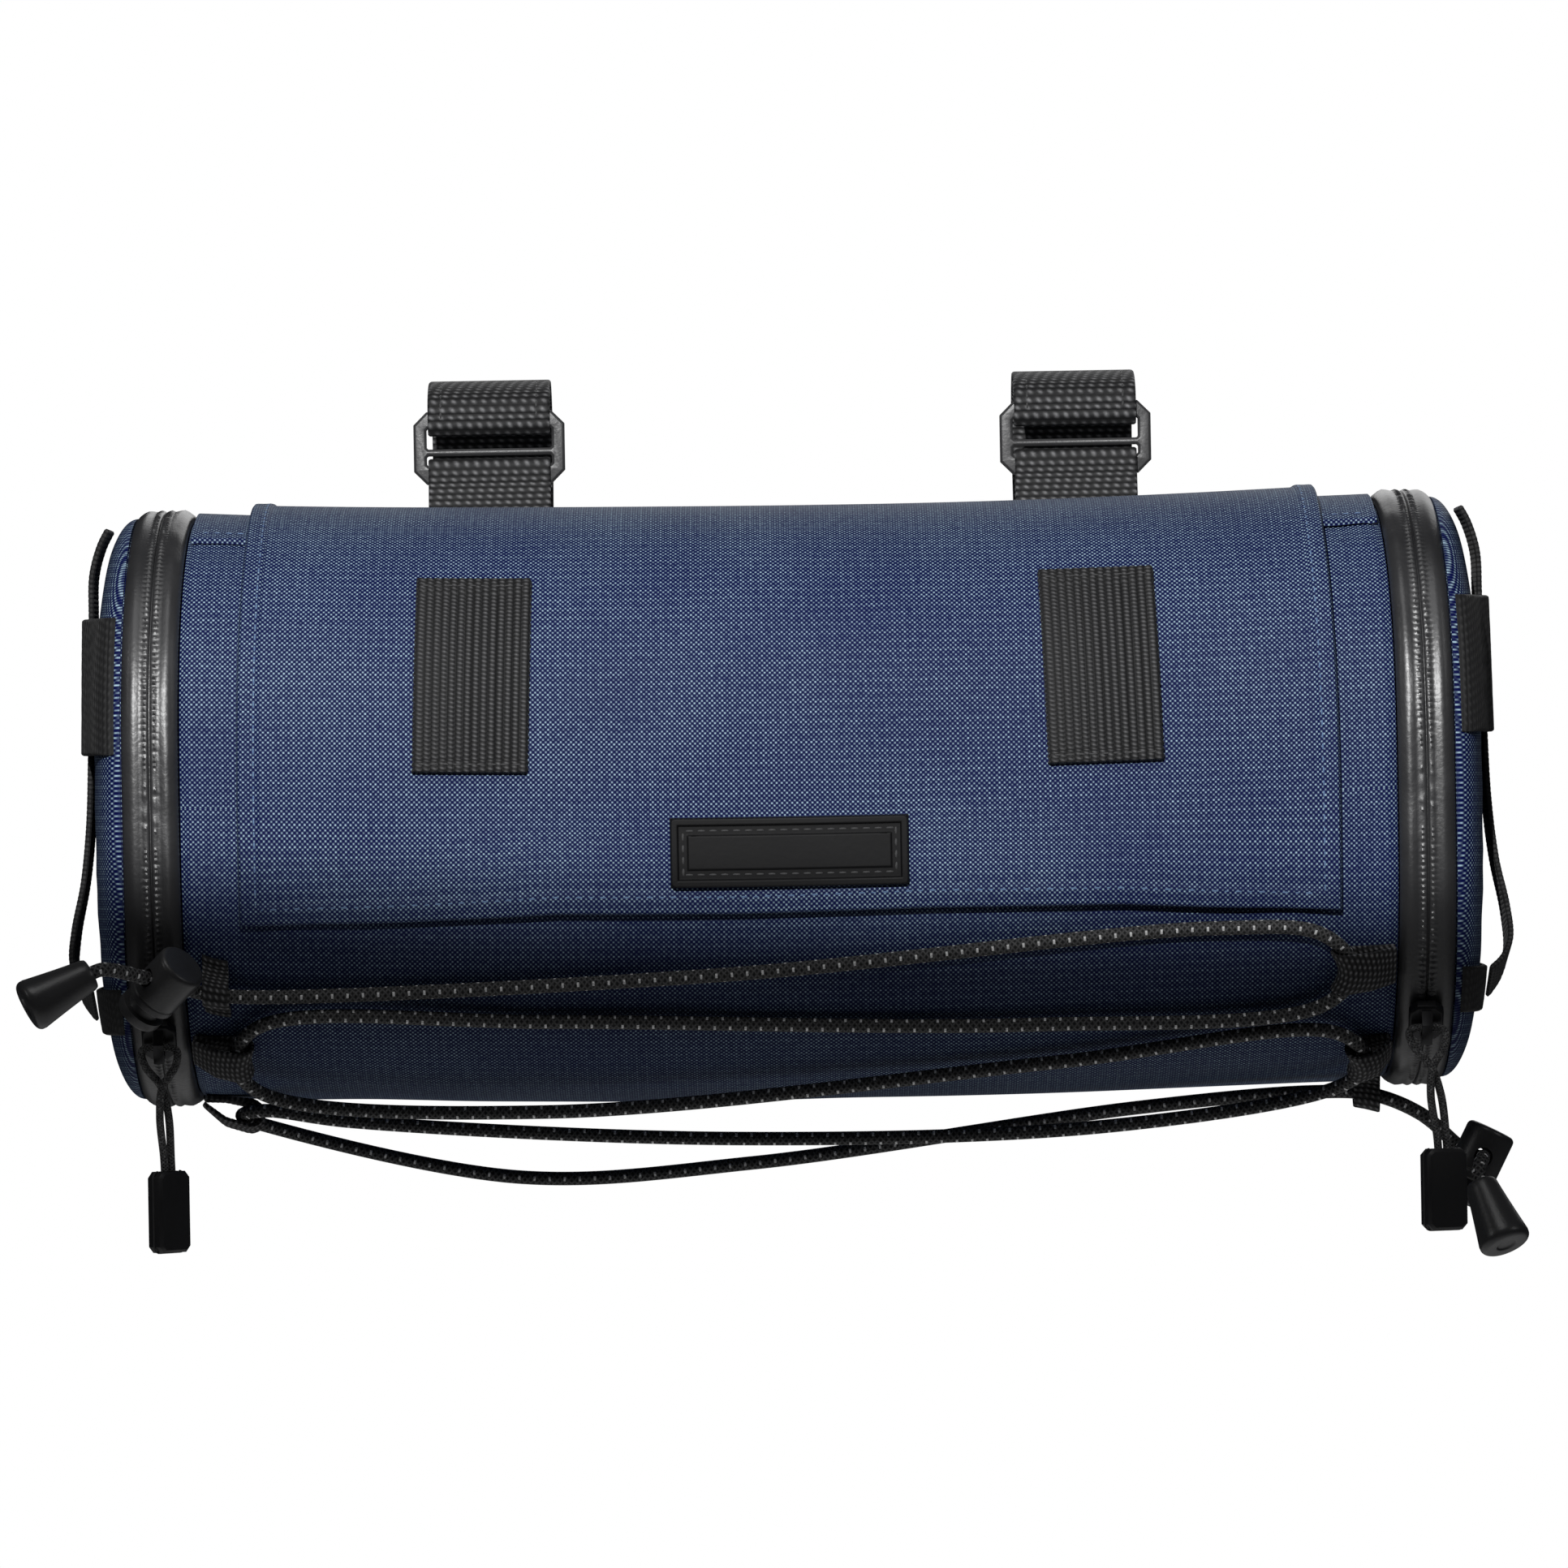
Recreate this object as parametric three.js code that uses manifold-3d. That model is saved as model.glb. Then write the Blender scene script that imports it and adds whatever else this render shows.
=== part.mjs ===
// A bicycle handlebar bag: a soft barrel that hangs in front of a handlebar from two webbing straps.
// A zip band runs round each end, a flap covers the front, and one elastic cord is laced below it.
// Lengths are in millimetres and angles in degrees. The origin is on the handlebar's axis, midway
// between the straps. X runs along the bar, -Y faces forwards (the flap's side) and Z points up.
import * as THREE from "three";
import { mergeVertices } from "three/addons/utils/BufferGeometryUtils.js";
import Module from "manifold-3d";

const manifold = await Module();
manifold.setup();

// Barrel
const BAG_Y = -90; // centre of the section
const BAG_Z = -91.5;
const HALF_DEPTH = 70;
const HALF_HEIGHT = 73.2;
const SQUARENESS = 2.7; // 2 is an ellipse, more is squarer
const DRAWN_HALF = 150; // the length that the tables below are drawn for
const END_FROM = 130; // what is farther out belongs to an end
const BARREL_HALF = 150; // from the middle to the zip band's seam
const DROOP = 3; // how far the middle hangs below the ends
const TOP_TAKE_IN = 2; // the barrel is shorter along its top
const FOOT_TAKE_IN = 1.5;
const SECTION_STEPS = 36;
const CLOTH = 1.6; // wall of the barrel and of the end panels
const GAP = 0.3; // between pieces that lie on each other

// Zip bands and end panels
const ZIP_WIDTH = 14;
const ZIP_RISE = 2.2; // how far the band stands above the barrel
const ZIP_SLIT = 0.6; // depth of the slit between its two rows
const END_BULGE = 8.2;
const END_ROUNDNESS = 6;

// Top facing and front flap
const FACING_HALF = BARREL_HALF - 1;
const FACING_THICK = 1.2;
const CREST_Z = BAG_Z + HALF_HEIGHT;
const FACING_FRONT_Z = CREST_Z - 7.5;
const FACING_BACK_Z = CREST_Z - 11.7;
const FLAP_HALF_TOP = BARREL_HALF - 15;
const FLAP_HALF_FOOT = BARREL_HALF - 14;
const FLAP_THICK = 1.8;
const FLAP_HEM = 5.2;
const HEM_RISE = 0.5;
const FLAP_FOOT_Z = -120;
const FLAP_TOP_Z = CREST_Z - 11.7; // where its sides become straight
const FLAP_BACK_Z = CREST_Z - 5.7;
const FLAP_TURN = 72; // millimetres of height to a radian near its foot
const DROP_FADE = { from: 3, to: 30 }; // above the foot, where the foot's line straightens out

// Patches and label on the flap
const PATCH_X = 77.6;
const PATCH_WIDTH = 28.6;
const PATCH_TOP_Z = -37;
const PATCH_FOOT_Z = -82;
const PATCH_THICK = 1.4;
const PATCH_FOLD = 3; // length of the doubled ends
const PATCH_DOUBLED = 1.6; // thickness there, in layers
const PATCH_LEAN = 1.4;
const LABEL_WIDTH = 58.8;
const LABEL_TOP_Z = -93;
const LABEL_FOOT_Z = -109.9;
const LABEL_THICK = 1.3; // at the stitched groove
const LABEL_RIM = 2;
const LABEL_GROOVE = 2.4;
const LABEL_RIM_RISE = 0.8;
const LABEL_FIELD_RISE = 0.5;

// Elastic cord, its loops, locks and ends
const BUNGEE = 3.5; // diameter
const BUNGEE_STEPS = 80;
const LOOP_WEB = 1.2;
const LOOP_EYE = 0.9; // clearance round the cord in a loop
const LOCK_RADIUS = 6.3;
const LOCK_WALL = 1.6;
const LOCK_CAP_Z = 7.5; // from the cord hole to the closed end
const LOCK_RIM_Z = -6.5;
const LOCK_HOLE = 2.3;
const PLUNGER_PLAY = 0.4;
const PLUNGER_TRAVEL = 2.5;
const PLUNGER_FLANGE = 3;
const BELL_LENGTH = 18;
const BELL_MOUTH = 4; // radius where the cord goes in
const BELL_WIDE = 6.5;
const BELL_BORE = 7; // depth of the blind hole

// Zip pulls
const SLIDER_WIDTH = 8.5;
const SLIDER_LENGTH = 11;
const SLIDER_THICK = 3;
const BRIDGE_HEIGHT = 4.4;
const BRIDGE_WIDTH = 2.6;
const BRIDGE_WIRE = 1.2;
const PULL_CORD = 2;
const PULL_STEPS = 24;
const TAB_WIDTH = 11;
const TAB_HEIGHT = 20;
const TAB_THICK = 5;
const TAB_EDGE = 0.7;
const TAB_POCKET = 4;
const TAB_TURN = { left: 50, right: 25 };

// Handlebar straps and their buckles
const STRAP_X = 76;
const STRAP_WIDTH = 31.6;
const STRAP_WEB = 1.6;
const STRAP_INNER = 15.4; // radius of the inner layer round the bar
const STRAP_OUTER = 17.9;
const STRAP_SEWN = { top: -66, foot: -112 }; // on the bag's back
const STRAP_LEAVES = -30; // where the taut stretch meets the loop, from straight back
const TAIL_END = 35;
const ANCHOR_SEWN = { top: -36, foot: -54 };
const ANCHOR_CLEAR = 1.1; // from the anchor's loop to its sewn base
const BUCKLE_Y = -19.8;
const BUCKLE_THICK = 2.4;
const BUCKLE_EDGE = 0.6;
const BUCKLE_RAIL = 3.4;
const BUCKLE_TOP = 10;
const BUCKLE_FOOT = -8.9;
const TOP_BAR_FOOT = 5.6;
const MIDDLE_BAR = { top: 0.3, foot: -1.5 };
const FOOT_BAR_TOP = -4;
const FOLD_PLAY = 0.4; // between the webbing's fold and the bar in it

// Webbing on the end panels
const SIDE_STRAP_WIDTH = 20;
const SIDE_STRAP_Y = -118;
const SIDE_WEB = 1.5;
const SIDE_STANDOFF = 6; // how far the strap's slack stands off the panel
const STRAP_BRIDGE = 2; // along the side strap, which follows the panel's curve
const BAND_TOP_Z = -44;
const BAND_FOOT_Z = -78;
const BAND_THICK = 1.3;
const BAND_BRIDGE = 5;
const FOOT_BAND_TOP_Z = -136;
const FOOT_BAND_FOOT_Z = -147.5;
const BAND_REACH = 0.86; // share of the section that the band crosses behind the middle
// Where the bands cross the panel's front edge, in shares of the way to its rim
const BAND_EDGE = [0.998, 0.98, 0.94, 0.88];
const BAND_EDGE_GAP = 2 * GAP; // along X, where the panel is steep

// Soft dents in the barrel's cloth, with shares of the barrel's half length and half height
const DENTS = [
  { along: -0.3, angle: -48, depth: 1.1, wide: 0.16, tall: 13 },
  { along: 0.36, angle: -40, depth: 1.3, wide: 0.2, tall: 12 },
  { along: -0.8, angle: -25, depth: 1.0, wide: 0.09, tall: 24 },
  { along: 0.82, angle: -18, depth: 1.1, wide: 0.08, tall: 26 },
  { along: 0.05, angle: 205, depth: 2.0, wide: 0.35, tall: 18 },
];
// Profile of a zip band across its width: share of the width, share of the rise
const ZIP_PROFILE = [
  { across: 0, rise: 0.05 },
  { across: 0.1, rise: 0.6 },
  { across: 0.47, rise: 1 },
  { across: 0.5, rise: 1, slit: 1 },
  { across: 0.53, rise: 1 },
  { across: 0.9, rise: 0.6 },
  { across: 1, rise: 0.05 },
];
// The flap's lower edge: share of its half width, drop in shares of its hem
const FLAP_EDGE = [
  { along: -1, drop: 0 },
  { along: -0.7, drop: -0.3 },
  { along: -0.42, drop: -0.66 },
  { along: -0.1, drop: -0.62 },
  { along: 0.25, drop: -0.74 },
  { along: 0.6, drop: -0.6 },
  { along: 1, drop: 0.12 },
];
// The side strap from top to foot: share of the half height, stand-off in shares of the slack, twist
const SIDE_STRAP_ROWS = [
  { height: 0.955, off: 0, twist: 0 },
  { height: 0.9, off: 0.1, twist: 0 },
  { height: 0.8, off: 0.18, twist: 0 },
  { height: 0.66, off: 0.05, twist: 0 },
  { height: 0.5, off: 0, twist: 0 },
  { height: 0.2, off: 0, twist: 0 },
  { height: -0.05, off: 0.12, twist: 0 },
  { height: -0.25, off: 0.4, twist: 0 },
  { height: -0.42, off: 0.85, twist: 4 },
  { height: -0.54, off: 1, twist: 10 },
  { height: -0.62, off: 0.72, twist: 17 },
  { height: -0.67, off: 0.25, twist: 22 },
];

// What lies near an end keeps its distance from it when the barrel gets longer or shorter, and
// what lies between is spread
function atEnds(points) {
  const longer = BARREL_HALF - DRAWN_HALF;
  return points.map(([x, ...rest]) => [x + longer * Math.max(-1, Math.min(1, x / END_FROM)), ...rest]);
}

// Route of the elastic cord, from one end to the other
const BUNGEE_ROUTE = atEnds([
  [-176.6, -179.8, -134.1],
  [-171.4, -178.5, -131.4],
  [-168.6, -177.0, -130.5],
  [-159.2, -169.2, -132.7],
  [-148.6, -160.8, -136.1],
  [-142.5, -156.8, -137.6, "left_upper"],
  [-129.0, -155.0, -138.4],
  [-15.1, -157.2, -134.7],
  [105.0, -159.6, -125.4],
  [131.0, -160.0, -127.4],
  [138.6, -157.3, -136.1, "right_upper"],
  [131.0, -152.0, -145.0],
  [59.1, -149.4, -148.6],
  [-60.0, -151.2, -145.8],
  [-131.0, -151.6, -145.4],
  [-138.4, -145.0, -153.8, "left_middle"],
  [-131.5, -135.5, -163.0],
  [-62.1, -132.0, -168.6],
  [65.2, -140.6, -158.2],
  [134.0, -146.6, -151.8],
  [142.7, -138.6, -159.2, "right_middle"],
  [135.5, -127.6, -166.0],
  [79.5, -124.0, -174.7],
  [-15.0, -120.5, -176.4],
  [-111.0, -121.0, -170.4],
  [-131.6, -120.6, -167.4],
  [-138.4, -112.2, -168.8, "left_lower"],
  [-131.6, -103.6, -172.0],
  [-69.2, -104.0, -185.7],
  [-10.0, -106.6, -183.0],
  [85.1, -112.0, -170.8],
  [130.0, -115.8, -167.4],
  [144.5, -116.0, -168.2, "right_lower"],
  [157.0, -112.4, -173.4],
  [166.8, -107.6, -181.8],
  [170.3, -115.1, -184.0],
  [171.0, -122.0, -184.2],
  [171.5, -128.8, -184.1],
  [170.0, -134.3, -186.6],
  [170.2, -136.4, -190.2],
  [172.3, -139.1, -195.6],
]);
// Where the locks and the bells sit on that route: centre of the lock, its axis towards the closed
// end, the cord's way through it, the bell's mouth and the way that the bell points
const CORD_ENDS = {
  left: {
    lock: atEnds([[-153.9, -165, -134.4]])[0],
    axis: [0.62, -0.48, 0.62],
    way: [0.76, 0.6, -0.245],
    mouth: atEnds([[-171.4, -178.5, -131.4]])[0],
    bell: [-0.87, -0.21, -0.45],
  },
  right: {
    lock: atEnds([[171, -122, -184]])[0],
    axis: [0.45, 0.045, 0.89],
    way: [0.1, -0.99, 0],
    mouth: atEnds([[170.2, -136.4, -190.2]])[0],
    bell: [0.32, -0.42, -0.85],
  },
};
// Zip pulls: height of the slider on the band, the tab's top centre
const PULLS = {
  left: { slider: -146, tab: atEnds([[-154.3, -161, -180.7]])[0] },
  right: { slider: -146.5, tab: atEnds([[159.4, -165, -180.4]])[0] },
};
// Route of a pull cord from the tab, through the slider's eye and back: share of the way from tab to
// eye, distance to the side and forwards, and share of the tab's turn
const PULL_ROWS = [
  { up: -0.1, side: -1.25, deep: 0, turn: 1 },
  { up: 0.1, side: -1.25, deep: 0, turn: 1 },
  { up: 0.45, side: -1.5, deep: 0.6, turn: 0.6 },
  { up: 0.68, side: 0.2, deep: 1.4, turn: 0 },
  { up: 0.86, side: 3.9, deep: 1.0, turn: 0 },
  { up: 0.98, side: 4.2, deep: 0.4, turn: 0 },
  { up: 1.01, side: 0, deep: 0, turn: 0 },
  { up: 0.98, side: -4.2, deep: -0.4, turn: 0 },
  { up: 0.86, side: -3.9, deep: -1.0, turn: 0 },
  { up: 0.68, side: -0.2, deep: -1.4, turn: 0 },
  { up: 0.45, side: 1.5, deep: -0.6, turn: 0.6 },
  { up: 0.1, side: 1.25, deep: 0, turn: 1 },
  { up: -0.1, side: 1.25, deep: 0, turn: 1 },
];
// Widths of the webbing loops, by the name that the route gives them. The cord turns back in a turn
// loop, which is sewn into the seam, and runs straight through a belt loop.
const TURN_LOOPS = { right_upper: 11, right_middle: 10, left_middle: 9, left_lower: 8 };
const BELT_LOOPS = { left_upper: 7, right_lower: 7 };

const MATERIALS = {
  ripstop: new THREE.MeshStandardMaterial({ color: 0x24406b, roughness: 0.75 }),
  webbing: new THREE.MeshStandardMaterial({ color: 0x17171a, roughness: 0.85 }),
  coated: new THREE.MeshStandardMaterial({ color: 0x1b1b1d, roughness: 0.42 }),
  rubber: new THREE.MeshStandardMaterial({ color: 0x141416, roughness: 0.6 }),
  plastic: new THREE.MeshStandardMaterial({ color: 0x18181a, roughness: 0.5 }),
  elastic: new THREE.MeshStandardMaterial({ color: 0x131314, roughness: 0.8 }),
  metal: new THREE.MeshStandardMaterial({ color: 0x303033, roughness: 0.4, metalness: 0.8 }),
};
const SIDES = { left: -1, right: 1 };

const radians = THREE.MathUtils.degToRad;
const vector = (point) => new THREE.Vector3(...point);
const bag = new THREE.Group();

// A geometry with shared vertices, no empty faces, and its faces pointing out
function outward(geometry) {
  const bare = new THREE.BufferGeometry();
  bare.setAttribute("position", geometry.getAttribute("position"));
  bare.setIndex(geometry.index);
  const merged = mergeVertices(bare, 1e-4);
  const places = merged.getAttribute("position");
  const corner = (k) => new THREE.Vector3().fromBufferAttribute(places, k);
  const faces = [];
  let volume = 0;
  for (let k = 0; k < merged.index.count; k += 3) {
    const [a, b, c] = [0, 1, 2].map((step) => merged.index.getX(k + step));
    if (a === b || b === c || a === c) continue;
    faces.push([a, b, c]);
    volume += corner(a).dot(corner(b).cross(corner(c)));
  }
  merged.setIndex(faces.flatMap(([a, b, c]) => (volume < 0 ? [a, c, b] : [a, b, c])));
  return merged;
}

// A closed slab between two skins of rows by columns. place(row, column, side) gives a point, with
// rows and columns from 0 to 1 and side 0 inside or 1 outside. With wrap the last row is the first.
function slab(rows, columns, place, wrap = false) {
  const points = [];
  const count = wrap ? rows : rows + 1;
  for (const side of [0, 1])
    for (let i = 0; i < count; i++)
      for (let j = 0; j <= columns; j++)
        points.push(place(i / rows, j / columns, side, j));
  const id = (side, i, j) => (side * count + (i % count)) * (columns + 1) + j;
  const faces = [];
  const quad = (a, b, c, d) => faces.push(a, b, c, a, c, d);
  for (let i = 0; i < rows; i++) {
    for (let j = 0; j < columns; j++) {
      quad(id(1, i, j), id(1, i + 1, j), id(1, i + 1, j + 1), id(1, i, j + 1));
      quad(id(0, i, j + 1), id(0, i + 1, j + 1), id(0, i + 1, j), id(0, i, j));
    }
    quad(id(0, i, 0), id(0, i + 1, 0), id(1, i + 1, 0), id(1, i, 0));
    quad(id(1, i, columns), id(1, i + 1, columns), id(0, i + 1, columns), id(0, i, columns));
  }
  if (!wrap)
    for (let j = 0; j < columns; j++) {
      quad(id(0, 0, j + 1), id(0, 0, j), id(1, 0, j), id(1, 0, j + 1));
      quad(id(0, rows, j), id(0, rows, j + 1), id(1, rows, j + 1), id(1, rows, j));
    }
  const geometry = new THREE.BufferGeometry().setFromPoints(points);
  geometry.setIndex(faces);
  return outward(geometry);
}

// A closed ring, lofted through rows round it, with a closed profile of columns
function hoop(rows, columns, place) {
  const points = [];
  for (let i = 0; i < rows; i++)
    for (let j = 0; j < columns; j++) points.push(place(i / rows, j / columns));
  const id = (i, j) => (i % rows) * columns + (j % columns);
  const faces = [];
  for (let i = 0; i < rows; i++)
    for (let j = 0; j < columns; j++) {
      faces.push(id(i, j), id(i + 1, j), id(i + 1, j + 1));
      faces.push(id(i, j), id(i + 1, j + 1), id(i, j + 1));
    }
  const geometry = new THREE.BufferGeometry().setFromPoints(points);
  geometry.setIndex(faces);
  return outward(geometry);
}

function solidOf(geometry) {
  const merged = outward(geometry);
  return new manifold.Manifold(
    new manifold.Mesh({
      numProp: 3,
      vertProperties: merged.getAttribute("position").array,
      triVerts: new Uint32Array(merged.index.array),
    }),
  );
}

function geometryOf(solid) {
  const mesh = solid.getMesh();
  const geometry = new THREE.BufferGeometry();
  geometry.setAttribute("position", new THREE.BufferAttribute(mesh.vertProperties, 3));
  geometry.setIndex(new THREE.BufferAttribute(mesh.triVerts, 1));
  return geometry;
}

function add(name, geometry, material, place = {}) {
  const mesh = new THREE.Mesh(geometry, MATERIALS[material]);
  mesh.name = name;
  if (place.position) mesh.position.copy(place.position);
  if (place.quaternion) mesh.quaternion.copy(place.quaternion);
  bag.add(mesh);
}

// A body turned about Z from a profile of [radius, z] points
function turned(profile, sides = 14) {
  const points = profile.map(([radius, z]) => new THREE.Vector2(radius, z));
  return new THREE.LatheGeometry(points, sides).rotateX(Math.PI / 2);
}

// The turn that carries local Z to one direction and local X as near as can be to another
function turnTo(zWay, xWay) {
  const z = vector(zWay).normalize();
  const y = z.clone().cross(vector(xWay)).normalize();
  const x = y.clone().cross(z);
  return new THREE.Quaternion().setFromRotationMatrix(new THREE.Matrix4().makeBasis(x, y, z));
}

// A cord's curve, stepped evenly from one chosen point to the next
class Route extends THREE.CatmullRomCurve3 {
  getPointAt(share) {
    return this.getPoint(share);
  }
  getTangentAt(share) {
    return this.getTangent(share);
  }
}

function cord(points, diameter, steps) {
  const sides = 8;
  const rim = [];
  for (let k = 0; k < sides; k++) {
    const turn = (2 * Math.PI * k) / sides;
    rim.push(new THREE.Vector2(Math.cos(turn), Math.sin(turn)).multiplyScalar(diameter / 2));
  }
  return outward(
    new THREE.ExtrudeGeometry(new THREE.Shape(rim), {
      steps,
      bevelEnabled: false,
      extrudePath: new Route(points.map(vector), false, "centripetal"),
    }),
  );
}

// Angles from one to another, with each whole station of the section between them, so that what
// lies on the barrel bends where the barrel does
function stations(from, to) {
  const step = (2 * Math.PI) / SECTION_STEPS;
  const angles = [from];
  for (let k = Math.ceil(from / step + 0.1); k < to / step - 0.1; k++) angles.push(k * step);
  return [...angles, to];
}

// Angle round the section, from straight forwards up over the top, at a height on the front or back
function angleAt(z, back = false) {
  const share = (z - BAG_Z) / HALF_HEIGHT;
  const angle = Math.sign(share) * Math.asin(Math.abs(share) ** (SQUARENESS / 2));
  return back ? Math.PI - angle : angle;
}

// Angle at a depth on the underside
function angleBelow(y) {
  const share = Math.abs(y - BAG_Y) / HALF_DEPTH;
  const angle = Math.acos(share ** (SQUARENESS / 2));
  return y < BAG_Y ? -angle : angle - Math.PI;
}

function dentAt(x, angle) {
  let depth = 0;
  for (const dent of DENTS) {
    const along = (x / BARREL_HALF - dent.along) / dent.wide;
    const round = (THREE.MathUtils.radToDeg(angle) - dent.angle) / dent.tall;
    depth += dent.depth * Math.exp(-(along ** 2) - round ** 2);
  }
  return depth;
}

// A point on the barrel's skin, lifted off it, with x before the ends are taken in
function skin(x, angle, lift = 0) {
  const power = 2 / SQUARENESS;
  const c = Math.cos(angle);
  const s = Math.sin(angle);
  const y = -Math.sign(c) * Math.abs(c) ** power;
  const z = Math.sign(s) * Math.abs(s) ** power;
  const slope = SQUARENESS - 1;
  const normal = new THREE.Vector2(
    (Math.sign(y) * Math.abs(y) ** slope) / HALF_DEPTH,
    (Math.sign(z) * Math.abs(z) ** slope) / HALF_HEIGHT,
  ).normalize();
  const along = Math.min(1, Math.abs(x) / BARREL_HALF);
  const takeIn = (z > 0 ? TOP_TAKE_IN : FOOT_TAKE_IN) * Math.abs(z) ** 3 * along ** 3;
  const off = lift - dentAt(x, angle);
  return new THREE.Vector3(
    x - Math.sign(x) * takeIn,
    BAG_Y + y * HALF_DEPTH + normal.x * off,
    BAG_Z + z * HALF_HEIGHT + normal.y * off - DROOP * (1 - along ** 2),
  );
}

function makeBarrel() {
  const place = (row, column, side) =>
    skin((2 * column - 1) * BARREL_HALF, row * 2 * Math.PI, side ? 0 : -CLOTH);
  add("barrel_shell", slab(SECTION_STEPS, 8, place, true), "ripstop");
}

function makeZipRings() {
  const profile = [
    ...ZIP_PROFILE.map(({ across, rise, slit = 0 }) => [across, rise * ZIP_RISE - slit * ZIP_SLIT]),
    [1, -CLOTH],
    [0, -CLOTH],
  ];
  for (const [name, side] of Object.entries(SIDES)) {
    const place = (row, column) => {
      const [across, lift] = profile[Math.round(column * profile.length) % profile.length];
      return skin(side * (BARREL_HALF + GAP + across * ZIP_WIDTH), row * 2 * Math.PI, lift);
    };
    add(`zip_ring_${name}`, hoop(SECTION_STEPS, profile.length, place), "coated");
  }
}

// A point on an end panel: share of the way from its middle to its rim, and angle
function dome(side, radial, angle, inset = 0) {
  const rim = skin(side * (BARREL_HALF + ZIP_WIDTH + 2 * GAP), angle, -inset);
  const bulge = END_BULGE * Math.sqrt(1 - radial ** END_ROUNDNESS);
  const flat = BARREL_HALF + ZIP_WIDTH + 2 * GAP;
  return new THREE.Vector3(
    THREE.MathUtils.lerp(side * flat, rim.x, radial ** 2) + side * (bulge - inset),
    THREE.MathUtils.lerp(BAG_Y, rim.y, radial),
    THREE.MathUtils.lerp(BAG_Z, rim.z, radial),
  );
}

function makeEndPanels() {
  const radials = [1, 0.97, 0.9, 0.66, 0];
  for (const [name, side] of Object.entries(SIDES)) {
    const place = (row, column, outer, index) => {
      const angle = row * 2 * Math.PI;
      const point = dome(side, radials[index], angle, outer ? 0 : CLOTH);
      if (index === 0) point.x = dome(side, 1, angle).x;
      return point;
    };
    add(`end_panel_${name}`, slab(SECTION_STEPS, radials.length - 1, place, true), "ripstop");
  }
}

// A point on an end panel at a height and depth, lifted outwards along X
function onEnd(side, y, z, lift) {
  const deep = (y - BAG_Y) / HALF_DEPTH;
  const high = (z - BAG_Z) / HALF_HEIGHT;
  const radial = Math.min(1, (Math.abs(deep) ** SQUARENESS + Math.abs(high) ** SQUARENESS) ** (1 / SQUARENESS));
  const power = SQUARENESS / 2;
  const angle = Math.atan2(
    Math.sign(high) * Math.abs(high) ** power,
    -Math.sign(deep) * Math.abs(deep) ** power,
  );
  return new THREE.Vector3(dome(side, radial, angle).x + side * lift, y, z);
}

const FLAP_LIFT = 2 * GAP + FACING_THICK;

function makeFacing() {
  const angles = stations(angleAt(FACING_FRONT_Z), angleAt(FACING_BACK_Z, true));
  const place = (row, column, side) => {
    const angle = angles[Math.round(row * (angles.length - 1))];
    return skin((2 * column - 1) * FACING_HALF, angle, GAP + side * FACING_THICK);
  };
  add("top_facing", slab(angles.length - 1, 8, place), "ripstop");
}

function edgeDrop(along) {
  const next = Math.max(1, FLAP_EDGE.findIndex((row) => row.along >= along));
  const [low, high] = [FLAP_EDGE[next - 1], FLAP_EDGE[next]];
  const share = (along - low.along) / (high.along - low.along);
  const eased = share * share * (3 - 2 * share);
  return THREE.MathUtils.lerp(low.drop, high.drop, eased) * FLAP_HEM;
}

function makeFlap() {
  const hemAcross = FLAP_HEM / FLAP_HALF_FOOT;
  const columns = [-1, -1 + hemAcross, -0.7, -0.42, -0.2, 0, 0.2, 0.42, 0.7, 1 - hemAcross, 1];
  const hemTop = FLAP_FOOT_Z + FLAP_HEM;
  const upper = stations(angleAt(hemTop + HEM_RISE), angleAt(FLAP_BACK_Z, true));
  const rows = [FLAP_FOOT_Z, hemTop];
  const last = rows.length + upper.length - 1;
  const place = (row, column, side, index) => {
    const line = Math.round(row * last);
    const across = columns[index];
    const straight = line < rows.length ? angleAt(rows[line]) : upper[line - rows.length];
    const up = (straight - angleAt(FLAP_FOOT_Z)) * FLAP_TURN;
    const drop = edgeDrop(across) * (1 - THREE.MathUtils.smoothstep(up, DROP_FADE.from, DROP_FADE.to));
    const angle = straight - drop / FLAP_TURN;
    const narrow = THREE.MathUtils.clamp(angle / angleAt(FLAP_TOP_Z), 0, 1);
    const half = THREE.MathUtils.lerp(FLAP_HALF_FOOT, FLAP_HALF_TOP, narrow);
    const hem = index === 0 || index === columns.length - 1 || line < rows.length;
    return skin(across * half, angle, FLAP_LIFT + side * (FLAP_THICK + (hem ? HEM_RISE : 0)));
  };
  add("front_flap", slab(last, columns.length - 1, place), "ripstop");
}

// A point above the flap at an x and a height, for what is sewn on it
function onFlap(x, z, lift) {
  return skin(x, angleAt(z), FLAP_LIFT + FLAP_THICK + GAP + lift);
}

function makePatches() {
  const foot = angleAt(PATCH_FOOT_Z);
  const top = angleAt(PATCH_TOP_Z);
  const ends = [0, PATCH_FOLD, PATCH_FOLD + 0.6];
  const low = ends.map((length) => angleAt(PATCH_FOOT_Z + length));
  const high = ends.map((length) => angleAt(PATCH_TOP_Z - length)).reverse();
  const inner = stations(low[2], high[0]).slice(1, -1);
  const angles = [...low, ...inner, ...high];
  for (const [name, side] of Object.entries(SIDES)) {
    const place = (row, column, outer) => {
      const line = Math.round(row * (angles.length - 1));
      const folded = line < 2 || line > angles.length - 3;
      const lean = ((angles[line] - foot) / (top - foot) - 0.5) * PATCH_LEAN * -side;
      const lift = FLAP_LIFT + FLAP_THICK + GAP + outer * PATCH_THICK * (folded ? PATCH_DOUBLED : 1);
      return skin(side * PATCH_X + lean + (column - 0.5) * PATCH_WIDTH, angles[line], lift);
    };
    add(`flap_patch_${name}`, slab(angles.length - 1, 2, place), "webbing");
  }
}

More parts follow.
